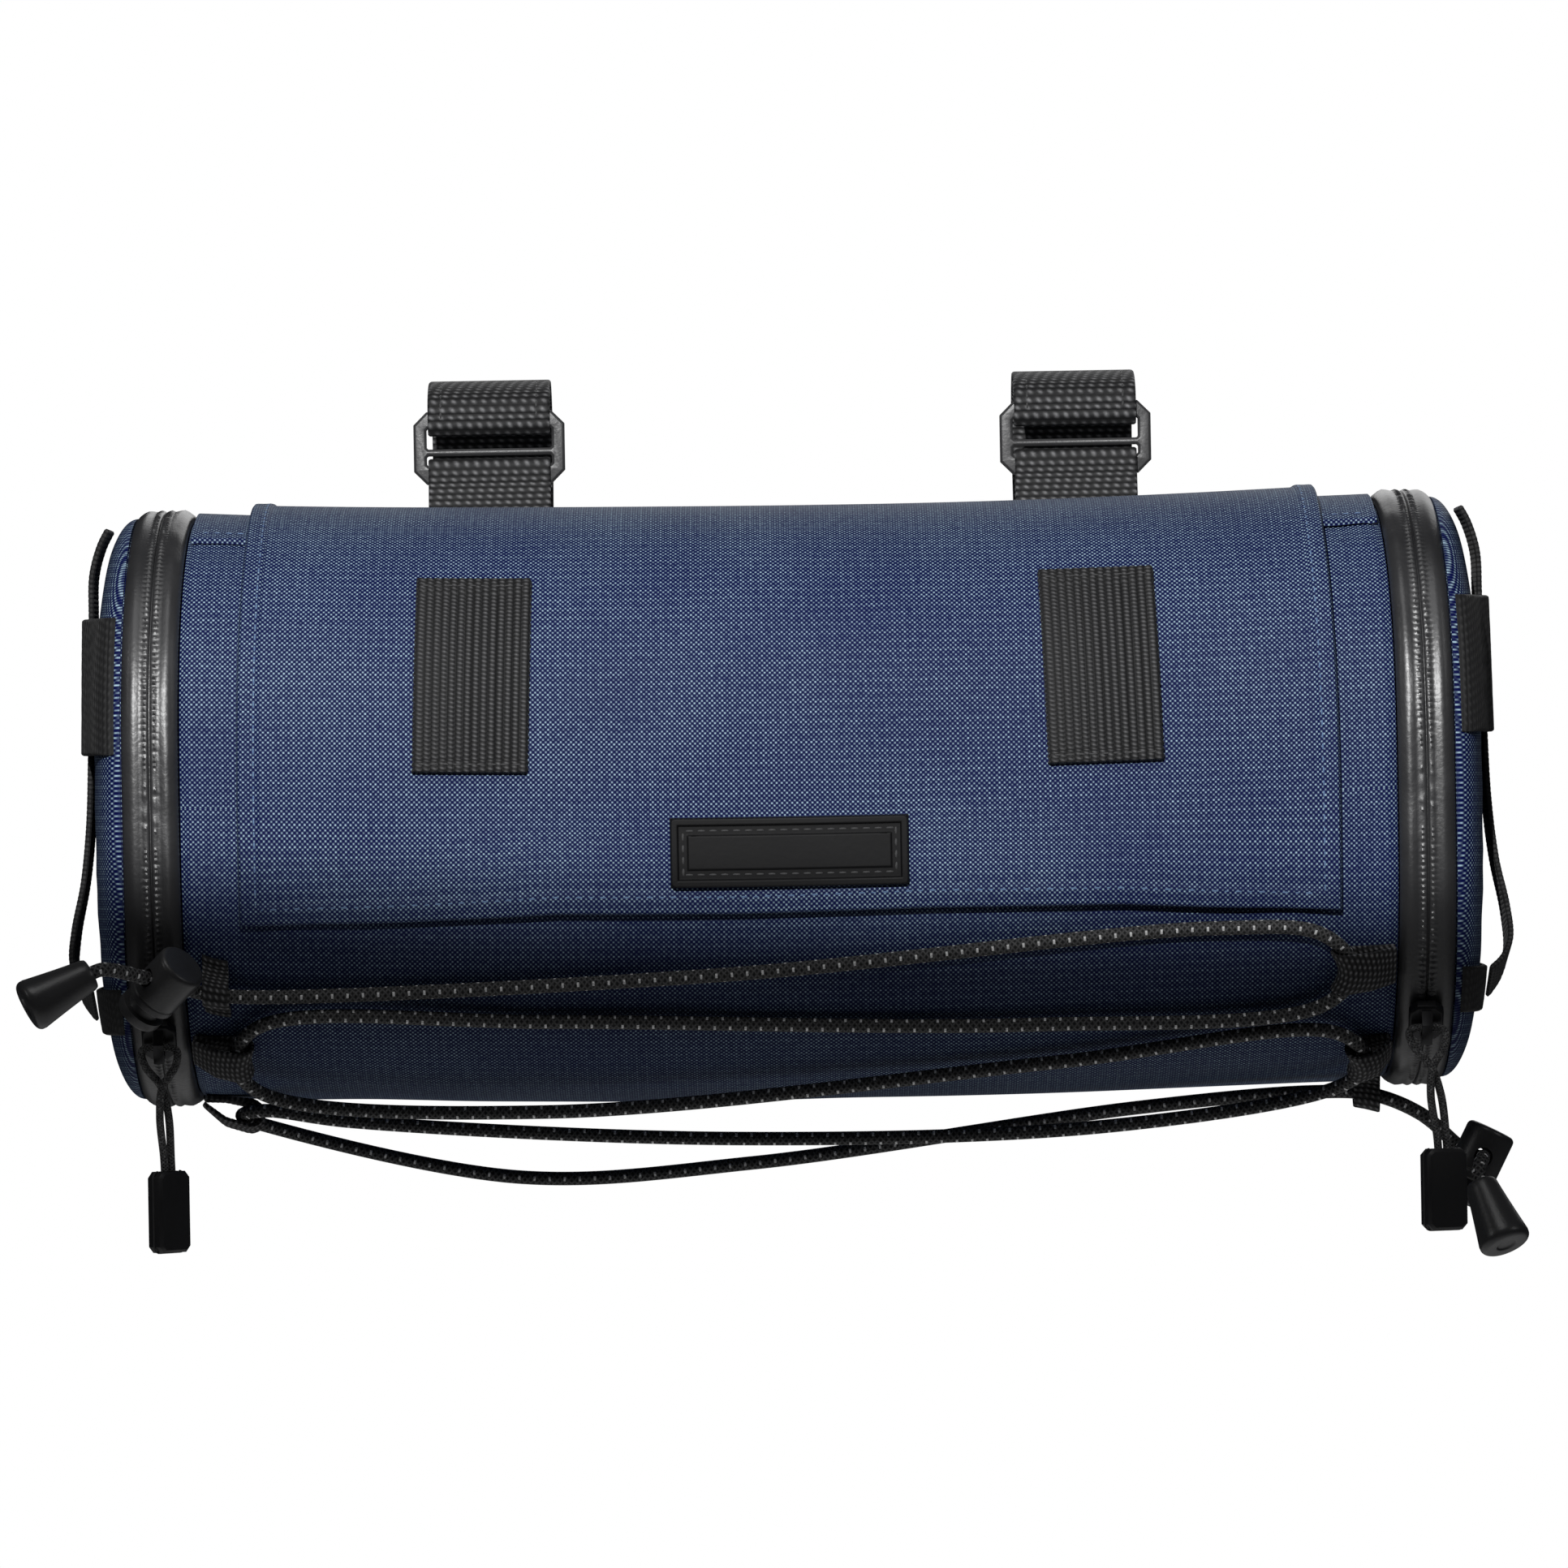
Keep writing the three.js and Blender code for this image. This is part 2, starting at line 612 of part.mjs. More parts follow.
function makeLabel() {
  const tall = LABEL_TOP_Z - LABEL_FOOT_Z;
  const step = 0.4;
  const inset = [0, LABEL_RIM, LABEL_RIM + step, LABEL_RIM + LABEL_GROOVE, LABEL_RIM + LABEL_GROOVE + step];
  const lines = (size) => [...inset, ...inset.map((d) => size - d).reverse()];
  const across = lines(LABEL_WIDTH);
  const up = lines(tall);
  const place = (row, column, outer, index) => {
    const line = Math.round(row * (up.length - 1));
    const ring = Math.min(index, across.length - 1 - index, line, up.length - 1 - line);
    const rise = ring < 2 ? LABEL_RIM_RISE : ring < 4 ? 0 : LABEL_FIELD_RISE;
    return onFlap(across[index] - LABEL_WIDTH / 2, LABEL_FOOT_Z + up[line], outer * (LABEL_THICK + rise));
  };
  add("label_plate", slab(up.length - 1, across.length - 1, place), "rubber");
}

// Where a point lies on the barrel: its angle round the section and its lift off the skin
function settle(point) {
  const x = point.x;
  const far = (angle) => {
    const foot = skin(x, angle);
    return Math.hypot(point.y - foot.y, point.z - foot.z);
  };
  let best = 0;
  for (let k = 0; k < 180; k++) if (far(radians(2 * k)) < far(best)) best = radians(2 * k);
  for (let step = radians(1); step > 1e-6; step /= 2)
    for (const angle of [best - step, best + step]) if (far(angle) < far(best)) best = angle;
  return { angle: best, lift: far(best) };
}

const bungeeCurve = new Route(BUNGEE_ROUTE.map(vector), false, "centripetal");

// The cord's point at a distance along it from the route's point that a loop holds
function heldPoint(loop, off) {
  const held = BUNGEE_ROUTE.findIndex((row) => row[3] === loop);
  const tick = 0.01 * Math.sign(off);
  const at = (index) => bungeeCurve.getPoint(index / (BUNGEE_ROUTE.length - 1));
  let index = held;
  let length = 0;
  let point = at(held);
  while (length < Math.abs(off)) {
    index += tick;
    length += point.distanceTo(at(index));
    point = at(index);
  }
  return point;
}

// The rows of a loop of webbing: a line in the plane of distance from the seam and lift, as wide as
// the loop, whose eye follows the cord
function loopOf(name, width, columns, lineThrough) {
  const lines = [];
  for (let j = 0; j <= columns; j++) lines.push(lineThrough(heldPoint(name, (j / columns - 0.5) * width)));
  const last = lines[0].path.length - 1;
  return slab(last, columns, (row, column, outer) => {
    const { path, put } = lines[Math.round(column * columns)];
    const at = Math.round(row * last);
    const way = path[Math.min(last, at + 1)].clone().sub(path[Math.max(0, at - 1)]).normalize();
    const shift = (outer - 0.5) * LOOP_WEB;
    return put(path[at].x + way.y * shift, path[at].y - way.x * shift);
  });
}

const LOOP_LOW = GAP + LOOP_WEB / 2;
const LOOP_RADIUS = (BUNGEE + LOOP_WEB) / 2 + LOOP_EYE;

function makeTurnLoops() {
  for (const [name, width] of Object.entries(TURN_LOOPS)) {
    const lineThrough = (centre) => {
      const { angle, lift } = settle(centre);
      const side = Math.sign(centre.x);
      const reach = BARREL_HALF - Math.abs(centre.x);
      const path = [new THREE.Vector2(1, LOOP_LOW), new THREE.Vector2(reach * 0.5, LOOP_LOW)];
      for (let turn = -90; turn <= 90; turn += 30)
        path.push(
          new THREE.Vector2(reach, lift).add(
            new THREE.Vector2(Math.cos(radians(turn)), Math.sin(radians(turn))).multiplyScalar(LOOP_RADIUS),
          ),
        );
      path.push(new THREE.Vector2(reach * 0.5, lift + LOOP_RADIUS * 0.5));
      path.push(new THREE.Vector2(1, LOOP_LOW + LOOP_WEB + GAP));
      return { path, put: (distance, height) => skin(side * (BARREL_HALF - distance), angle, height) };
    };
    add(`bungee_loop_${name}`, loopOf(name, width, 4, lineThrough), "webbing");
  }
}

// A loop sewn down on both sides of the cord, which runs straight through it
function makeBeltLoops() {
  const quarter = (HALF_DEPTH + HALF_HEIGHT) / 2; // the section's mean radius
  for (const [name, width] of Object.entries(BELT_LOOPS)) {
    const lineThrough = (centre) => {
      const { angle, lift } = settle(centre);
      const path = [[-2.7, 0], [-1.9, 0.05], [-1.3, 0.45]].map(
        ([across, up]) => new THREE.Vector2(across * LOOP_RADIUS, LOOP_LOW + up * (lift - LOOP_LOW)),
      );
      for (let turn = 165; turn > 89; turn -= 25)
        path.push(
          new THREE.Vector2(Math.cos(radians(turn)), Math.sin(radians(turn)))
            .multiplyScalar(LOOP_RADIUS)
            .add(new THREE.Vector2(0, lift)),
        );
      const mirrored = path.map((point) => new THREE.Vector2(-point.x, point.y)).reverse();
      return {
        path: [...path, ...mirrored],
        put: (across, height) => skin(centre.x, angle + across / (quarter + height), height),
      };
    };
    add(`bungee_loop_${name}`, loopOf(name, width, 2, lineThrough), "webbing");
  }
}

function makeLock(name, end) {
  const bore = LOCK_RADIUS - LOCK_WALL;
  const ceiling = LOCK_CAP_Z - LOCK_WALL;
  const hole = turned([[0, -LOCK_RADIUS * 1.5], [LOCK_HOLE, -LOCK_RADIUS * 1.5], [LOCK_HOLE, LOCK_RADIUS * 1.5], [0, LOCK_RADIUS * 1.5]], 10)
    .rotateY(Math.PI / 2);
  const cup = turned([
    [0, ceiling],
    [bore, ceiling],
    [bore, LOCK_RIM_Z],
    [LOCK_RADIUS, LOCK_RIM_Z],
    [LOCK_RADIUS, LOCK_CAP_Z - 0.9],
    [LOCK_RADIUS - 0.9, LOCK_CAP_Z],
    [0, LOCK_CAP_Z],
  ]);
  const place = { position: vector(end.lock), quaternion: turnTo(end.axis, end.way) };
  const barrel = geometryOf(solidOf(cup).subtract(solidOf(hole)));
  add(`cord_lock_barrel_${name}`, barrel, "plastic", place);

  const shaft = bore - PLUNGER_PLAY;
  const head = ceiling - PLUNGER_TRAVEL - GAP;
  const flangeTop = LOCK_RIM_Z - PLUNGER_TRAVEL - GAP;
  const pin = turned([
    [0, head],
    [shaft, head],
    [shaft, flangeTop],
    [LOCK_RADIUS - 0.3, flangeTop],
    [LOCK_RADIUS - 0.3, flangeTop - PLUNGER_FLANGE + 0.9],
    [LOCK_RADIUS - 1.2, flangeTop - PLUNGER_FLANGE],
    [0, flangeTop - PLUNGER_FLANGE],
  ]);
  const slotTop = head - 1;
  const slotFoot = -BUNGEE / 2 - PLUNGER_PLAY - PLUNGER_TRAVEL;
  const slot = new THREE.BoxGeometry(3 * LOCK_RADIUS, 2 * LOCK_HOLE, slotTop - slotFoot)
    .translate(0, 0, (slotTop + slotFoot) / 2);
  const plunger = geometryOf(solidOf(pin).subtract(solidOf(slot)));
  add(`cord_lock_plunger_${name}`, plunger, "plastic", place);
}

function makeBell(name, end) {
  const bore = BUNGEE / 2 + GAP + 0.15;
  const profile = [
    [0, BELL_BORE],
    [bore, BELL_BORE],
    [bore, 0],
    [BELL_MOUTH, 0],
    [BELL_WIDE - 0.1, BELL_LENGTH - 3],
    [BELL_WIDE, BELL_LENGTH - 1.6],
    [BELL_WIDE - 1.3, BELL_LENGTH],
    [0, BELL_LENGTH],
  ];
  const place = { position: vector(end.mouth), quaternion: turnTo(end.bell, [1, 0, 0]) };
  add(`cord_end_${name}`, outward(turned(profile)), "plastic", place);
}

function makeBungee() {
  makeTurnLoops();
  makeBeltLoops();
  add("bungee_cord", cord(BUNGEE_ROUTE, BUNGEE, BUNGEE_STEPS), "elastic");
  for (const [name, end] of Object.entries(CORD_ENDS)) {
    makeLock(name, end);
    makeBell(name, end);
  }
}

// A rectangle with cut corners, as a shape
function plateShape(width, height, corner) {
  const [w, h] = [width / 2, height / 2];
  return new THREE.Shape([
    new THREE.Vector2(-w + corner, -h),
    new THREE.Vector2(w - corner, -h),
    new THREE.Vector2(w, -h + corner),
    new THREE.Vector2(w, h - corner),
    new THREE.Vector2(w - corner, h),
    new THREE.Vector2(-w + corner, h),
    new THREE.Vector2(-w, h - corner),
    new THREE.Vector2(-w, -h + corner),
  ]);
}

function bevelled(shape, thick, edge) {
  return new THREE.ExtrudeGeometry(shape, {
    depth: thick - 2 * edge,
    bevelThickness: edge,
    bevelSize: edge,
    bevelOffset: -edge,
    bevelSegments: 1,
    curveSegments: 3,
  }).translate(0, 0, edge - thick / 2);
}

function makePull(name, side) {
  const pull = PULLS[name];
  const slit = side * (BARREL_HALF + GAP + ZIP_WIDTH / 2);
  const angle = angleAt(pull.slider);
  const seat = skin(slit, angle, ZIP_RISE + GAP);
  const out = skin(slit, angle, ZIP_RISE + GAP + 1).sub(seat);
  const turn = turnTo(out.toArray(), [1, 0, 0]);

  const body = bevelled(plateShape(SLIDER_WIDTH, SLIDER_LENGTH, 2), SLIDER_THICK, 0.5)
    .translate(0, 0, SLIDER_THICK / 2);
  const bridge = new THREE.ExtrudeGeometry(
    new THREE.Shape([
      new THREE.Vector2(-SLIDER_LENGTH / 2 + 1, 0),
      new THREE.Vector2(-SLIDER_LENGTH / 2 + 2.4, BRIDGE_HEIGHT),
      new THREE.Vector2(SLIDER_LENGTH / 2 - 2.4, BRIDGE_HEIGHT),
      new THREE.Vector2(SLIDER_LENGTH / 2 - 1, 0),
      new THREE.Vector2(SLIDER_LENGTH / 2 - 1 - BRIDGE_WIRE, 0),
      new THREE.Vector2(SLIDER_LENGTH / 2 - 2.4 - BRIDGE_WIRE, BRIDGE_HEIGHT - BRIDGE_WIRE),
      new THREE.Vector2(-SLIDER_LENGTH / 2 + 2.4 + BRIDGE_WIRE, BRIDGE_HEIGHT - BRIDGE_WIRE),
      new THREE.Vector2(-SLIDER_LENGTH / 2 + 1 + BRIDGE_WIRE, 0),
    ]),
    { depth: BRIDGE_WIDTH, bevelEnabled: false },
  )
    .translate(0, 0, -BRIDGE_WIDTH / 2)
    .rotateX(Math.PI / 2)
    .rotateZ(Math.PI / 2)
    .translate(0, 0, SLIDER_THICK - 0.2);
  const slider = geometryOf(solidOf(body).add(solidOf(bridge)));
  add(`zip_slider_${name}`, slider, "metal", { position: seat, quaternion: turn });

  const tabTop = vector(pull.tab);
  const eyeLift = SLIDER_THICK + (BRIDGE_HEIGHT - BRIDGE_WIRE) / 2;
  const eye = seat.clone().addScaledVector(out.normalize(), eyeLift);
  const rows = PULL_ROWS.map(({ up, side: across, deep, turn: twist }) => {
    const point = tabTop.clone().lerp(eye, Math.max(0, up)).setZ(THREE.MathUtils.lerp(tabTop.z, eye.z, up));
    const swing = radians(TAB_TURN[name]) * twist;
    point.x += across * Math.cos(swing) + deep * Math.sin(swing);
    point.y += across * Math.sin(swing) - deep * Math.cos(swing);
    return point.toArray();
  });
  add(`zip_pull_cord_${name}`, cord(rows, PULL_CORD, PULL_STEPS), "elastic");

  const block = bevelled(plateShape(TAB_WIDTH, TAB_HEIGHT, 1.5), TAB_THICK, TAB_EDGE);
  const pocket = new THREE.BoxGeometry(2 * PULL_CORD + 2.4, 2 * TAB_POCKET, PULL_CORD + 1.5)
    .translate(0, TAB_HEIGHT / 2, 0);
  const tab = geometryOf(solidOf(block).subtract(solidOf(pocket)))
    .rotateX(Math.PI / 2)
    .rotateZ(radians(TAB_TURN[name]));
  add(`zip_pull_tab_${name}`, tab, "rubber", {
    position: tabTop.clone().setZ(tabTop.z - TAB_HEIGHT / 2),
  });
}

// Webbing along a line of points, its width along one direction or one for each point
function ribbon(points, width, thick, widthWays, columns = 1) {
  const last = points.length - 1;
  return slab(last, columns, (row, column, side) => {
    const at = Math.round(row * last);
    const wide = Array.isArray(widthWays) ? widthWays[at] : widthWays;
    const way = points[Math.min(last, at + 1)].clone().sub(points[Math.max(0, at - 1)]);
    const off = way.cross(wide).normalize();
    return points[at]
      .clone()
      .addScaledVector(wide, (column - 0.5) * width)
      .addScaledVector(off, (side - 0.5) * thick);
  });
}

// Points of an arc of an ellipse in a plane across X: angles run from straight back up over the top
function arcPoints(x, y, z, halfDeep, halfHigh, from, to, steps) {
  const points = [];
  for (let k = 0; k <= steps; k++) {
    const turn = radians(from + ((to - from) * k) / steps);
    points.push(new THREE.Vector3(x, y + halfDeep * Math.cos(turn), z + halfHigh * Math.sin(turn)));
  }
  return points;
}

// Points down the bag's back at one x, between two heights
function backPoints(x, top, foot, lift, steps) {
  const points = [];
  for (let k = 0; k <= steps; k++)
    points.push(skin(x, angleAt(THREE.MathUtils.lerp(foot, top, k / steps), true), lift).setX(x));
  return points;
}

const BACK_LIFT = 2 * GAP + STRAP_WEB / 2; // of the first layer sewn on the back

function makeBarStraps() {
  const acrossX = new THREE.Vector3(1, 0, 0);
  const fold = BUCKLE_THICK / 2 + FOLD_PLAY + STRAP_WEB / 2;
  const behind = -(BUCKLE_Y + fold);
  const before = -(BUCKLE_Y - fold);
  for (const [name, side] of Object.entries(SIDES)) {
    const x = side * STRAP_X;
    const topFold = TOP_BAR_FOOT + BUCKLE_THICK / 2;
    const strap = [
      ...backPoints(x, STRAP_SEWN.top, STRAP_SEWN.foot, BACK_LIFT, 3),
      ...arcPoints(x, 0, 0, STRAP_INNER, STRAP_INNER, STRAP_LEAVES, 90, 7),
      ...arcPoints(x, 0, topFold, behind, STRAP_INNER - topFold, 105, 180, 4),
      ...arcPoints(x, BUCKLE_Y, topFold, fold, fold, -30, -180, 5),
      ...arcPoints(x, 0, BUCKLE_TOP, before, STRAP_OUTER - BUCKLE_TOP, 180, 105, 5),
      ...arcPoints(x, 0, 0, STRAP_OUTER, STRAP_OUTER, 90, TAIL_END, 4),
    ];
    add(`handlebar_strap_${name}`, ribbon(strap, STRAP_WIDTH, STRAP_WEB, acrossX), "webbing");

    const footFold = FOOT_BAR_TOP - BUCKLE_THICK / 2;
    const start = angleAt(ANCHOR_SEWN.top, true);
    const anchor = [
      skin(x, start, BACK_LIFT).setX(x),
      new THREE.Vector3(x, BUCKLE_Y - fold, BUCKLE_FOOT),
      ...arcPoints(x, BUCKLE_Y, footFold, fold, fold, 180, 0, 6),
      new THREE.Vector3(x, BUCKLE_Y + fold, BUCKLE_FOOT),
      skin(x, start, BACK_LIFT + STRAP_WEB + GAP).setX(x),
    ];
    add(`strap_anchor_${name}`, ribbon(anchor, STRAP_WIDTH, STRAP_WEB, acrossX), "webbing");

    const doubled = 2 * STRAP_WEB + GAP;
    const base = backPoints(x, ANCHOR_SEWN.top - ANCHOR_CLEAR, ANCHOR_SEWN.foot, 2 * GAP + doubled / 2, 2);
    add(`strap_anchor_base_${name}`, ribbon(base, STRAP_WIDTH, doubled, acrossX), "webbing");

    const slotWidth = STRAP_WIDTH + 2 * FOLD_PLAY;
    const middle = (BUCKLE_TOP + BUCKLE_FOOT) / 2;
    const frame = plateShape(slotWidth + 2 * BUCKLE_RAIL, BUCKLE_TOP - BUCKLE_FOOT, 3.4);
    for (const [top, foot] of [[TOP_BAR_FOOT, MIDDLE_BAR.top], [MIDDLE_BAR.foot, FOOT_BAR_TOP]]) {
      const window = plateShape(slotWidth, top - foot, 0.4).getPoints();
      frame.holes.push(new THREE.Path(window.map((p) => new THREE.Vector2(p.x, p.y + (top + foot) / 2 - middle))));
    }
    const buckle = outward(bevelled(frame, BUCKLE_THICK, BUCKLE_EDGE).rotateX(Math.PI / 2));
    add(`strap_buckle_${name}`, buckle, "plastic", { position: new THREE.Vector3(x, BUCKLE_Y, middle) });
  }
}

// Depth, from the section's middle, of a line round the end panel at a height
function deepAt(z, radial) {
  const high = Math.abs(z - BAG_Z) / HALF_HEIGHT;
  return HALF_DEPTH * Math.max(0, radial ** SQUARENESS - high ** SQUARENESS) ** (1 / SQUARENESS);
}

// The outermost of the end panel within a short way of a point, as stiff webbing bridges hollows
function bridged(side, y, z, span, tall) {
  const near = [-1, 0, 1];
  return Math.max(...near.flatMap((i) => near.map((j) => side * onEnd(side, y + i * span, z + j * tall, 0).x)));
}

function makeSideWebbing() {
  const half = SIDE_STRAP_WIDTH / 2;
  for (const [name, side] of Object.entries(SIDES)) {
    const heights = SIDE_STRAP_ROWS.map((row) => BAG_Z + row.height * HALF_HEIGHT);
    const outs = SIDE_STRAP_ROWS.map(
      (row, k) => bridged(side, SIDE_STRAP_Y, heights[k], half, STRAP_BRIDGE) + GAP + SIDE_WEB / 2 + row.off * SIDE_STANDOFF,
    );
    const points = heights.map((z, k) => new THREE.Vector3(side * outs[k], SIDE_STRAP_Y, z));
    const ways = SIDE_STRAP_ROWS.map(
      (row) => new THREE.Vector3(0, Math.cos(radians(row.twist)), -Math.sin(radians(row.twist))),
    );
    add(`side_strap_${name}`, ribbon(points, SIDE_STRAP_WIDTH, SIDE_WEB, ways, 2), "webbing");

    const strapOut = (z) => {
      const next = heights.findIndex((height) => height <= z);
      const share = (z - heights[next]) / (heights[next - 1] - heights[next]);
      return THREE.MathUtils.lerp(outs[next], outs[next - 1], share) + SIDE_WEB / 2;
    };
    const reach = BAND_REACH * HALF_DEPTH;
    const edges = BAND_EDGE.map((radial) => (z) => BAG_Y - deepAt(z, radial));
    const level = (y) => () => y;
    const before = [level(SIDE_STRAP_Y - half - 7), level(SIDE_STRAP_Y - half - 1.5)];
    const behind = [level(SIDE_STRAP_Y + half + 1.5), level(SIDE_STRAP_Y + half + 7)];
    const rest = [0, 0.35, 0.6, 0.8, 1].map((share) => level(BAG_Y + share * reach));
    const across = [...edges, ...before, ...behind, ...rest];
    const overStrap = [edges.length + 1, edges.length + 2];
    const place = (row, column, outer) => {
      const at = Math.round(row * (across.length - 1));
      const z = THREE.MathUtils.lerp(BAND_FOOT_Z, BAND_TOP_Z, column);
      const y = across[at](z);
      const panel = at < edges.length ? side * onEnd(side, y, z, 0).x : bridged(side, y, z, BAND_BRIDGE, BAND_BRIDGE);
      const over = overStrap.includes(at) ? Math.max(panel, strapOut(z)) : panel;
      const gap = at < edges.length ? BAND_EDGE_GAP : GAP;
      return new THREE.Vector3(side * (over + gap + outer * BAND_THICK), y, z);
    };
    add(`side_band_${name}`, slab(across.length - 1, 3, place), "webbing");

    const sewn = [...edges, level(SIDE_STRAP_Y - half), level(SIDE_STRAP_Y), level(SIDE_STRAP_Y + half + 4)];
    const placeFoot = (row, column, outer) => {
      const z = THREE.MathUtils.lerp(FOOT_BAND_FOOT_Z, FOOT_BAND_TOP_Z, column);
      const y = sewn[Math.round(row * (sewn.length - 1))](z);
      return onEnd(side, y, z, BAND_EDGE_GAP + outer * BAND_THICK);
    };
    add(`side_foot_band_${name}`, slab(sewn.length - 1, 2, placeFoot), "webbing");
  }
}

makeBarrel();
makeZipRings();
makeEndPanels();
makeFacing();
makeFlap();
makePatches();
makeLabel();
makeBungee();
for (const [name, side] of Object.entries(SIDES)) makePull(name, side);
makeBarStraps();
makeSideWebbing();

export default bag;
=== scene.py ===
# A bicycle handlebar bag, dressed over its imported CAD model. Lengths are in millimetres until a
# mesh is made, and +X is right, -Y is the front and +Z is up, as in the CAD model.
import math
from functools import partialmethod

import bmesh
import bpy
import numpy as np
from mathutils import Matrix, Vector


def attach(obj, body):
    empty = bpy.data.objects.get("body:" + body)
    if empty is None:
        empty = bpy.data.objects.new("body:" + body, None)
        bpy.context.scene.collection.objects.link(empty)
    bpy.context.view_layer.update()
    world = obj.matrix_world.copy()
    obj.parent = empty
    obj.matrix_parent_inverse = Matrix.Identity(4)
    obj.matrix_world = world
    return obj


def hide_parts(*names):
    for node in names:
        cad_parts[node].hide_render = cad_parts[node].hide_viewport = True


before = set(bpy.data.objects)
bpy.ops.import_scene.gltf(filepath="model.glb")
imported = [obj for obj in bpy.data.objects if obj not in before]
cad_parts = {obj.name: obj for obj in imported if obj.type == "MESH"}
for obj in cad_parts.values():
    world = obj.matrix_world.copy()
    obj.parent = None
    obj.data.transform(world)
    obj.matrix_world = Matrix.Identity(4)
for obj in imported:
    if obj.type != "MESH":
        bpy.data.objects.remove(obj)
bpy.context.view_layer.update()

MM = 0.001
TURN = 2 * math.pi
SIDES = {"left": -1, "right": 1}

# The same sizes as the CAD model's
BAG_Y, BAG_Z = -90, -91.5
HALF_DEPTH, HALF_HEIGHT = 70, 73.2
SQUARENESS = 2.7
BARREL_HALF = 150
DROOP = 3
TOP_TAKE_IN, FOOT_TAKE_IN = 2, 1.5
CLOTH = 1.6
GAP = 0.3
ZIP_WIDTH, ZIP_RISE = 14, 2.2
END_BULGE, END_ROUNDNESS = 8.2, 6
FACING_HALF, FACING_THICK = 149, 1.2
FACING_FRONT_Z, FACING_BACK_Z = -25.8, -30
FLAP_HALF_TOP, FLAP_HALF_FOOT = 135, 136
FLAP_THICK, FLAP_HEM, HEM_RISE = 1.8, 5.2, 0.5
FLAP_FOOT_Z, FLAP_TOP_Z, FLAP_BACK_Z = -120, -30, -24
FLAP_LIFT = 2 * GAP + FACING_THICK
PATCH_X, PATCH_WIDTH = 77.6, 28.6
PATCH_TOP_Z, PATCH_FOOT_Z = -37, -82
PATCH_THICK, PATCH_FOLD = 1.4, 3
LABEL_WIDTH, LABEL_TOP_Z, LABEL_FOOT_Z = 58.8, -93, -109.9
BUNGEE = 3.5
LOOP_WEB, LOOP_EYE = 1.2, 0.9
LOCK_RADIUS, LOCK_WALL, LOCK_CAP_Z, LOCK_RIM_Z, LOCK_HOLE = 6.3, 1.6, 7.5, -6.5, 2.3
PLUNGER_PLAY, PLUNGER_TRAVEL, PLUNGER_FLANGE = 0.4, 2.5, 3
BELL_LENGTH, BELL_MOUTH, BELL_WIDE, BELL_BORE = 18, 4, 6.5, 7
SLIDER_THICK, BRIDGE_HEIGHT, BRIDGE_WIRE = 3, 4.4, 1.2
PULL_CORD = 2
TAB_WIDTH, TAB_HEIGHT = 11, 20
TAB_TURN = {"left": 50, "right": 25}
STRAP_X, STRAP_WIDTH, STRAP_WEB = 76, 31.6, 1.6
STRAP_INNER, STRAP_OUTER = 15.4, 17.9
STRAP_SEWN, ANCHOR_SEWN = (-66, -112), (-36, -54)
STRAP_LEAVES, TAIL_END = -30, 35
BUCKLE_Y, BUCKLE_THICK = -19.8, 2.4
BUCKLE_TOP, BUCKLE_FOOT, TOP_BAR_FOOT, FOOT_BAR_TOP = 10, -8.9, 5.6, -4
FOLD_PLAY = 0.4
BACK_LIFT = 2 * GAP + STRAP_WEB / 2
SIDE_STRAP_WIDTH, SIDE_STRAP_Y, SIDE_WEB, SIDE_STANDOFF = 20, -118, 1.5, 6
BAND_TOP_Z, BAND_FOOT_Z, BAND_THICK, BAND_BRIDGE, BAND_REACH = -44, -78, 1.3, 5, 0.86
FOOT_BAND_TOP_Z, FOOT_BAND_FOOT_Z = -136, -147.5
BAND_EDGE_GAP = 2 * GAP
STRAP_BRIDGE = 2
GIRTH_RADIUS = 72  # the barrel's mean radius, which turns lengths round it into angles
STITCH, STITCH_PITCH = 2.0, 2.9

# Soft dents of the barrel: share along it, angle, depth, spread along it and round it
DENTS = [
    (-0.3, -48, 1.1, 0.16, 13),
    (0.36, -40, 1.3, 0.2, 12),
    (-0.8, -25, 1.0, 0.09, 24),
    (0.82, -18, 1.1, 0.08, 26),
    (0.05, 205, 2.0, 0.35, 18),
]
# The flap's lower edge: share of its half width, drop in shares of its hem
FLAP_EDGE = [(-1, 0), (-0.7, -0.3), (-0.42, -0.66), (-0.1, -0.62), (0.25, -0.74), (0.6, -0.6), (1, 0.12)]
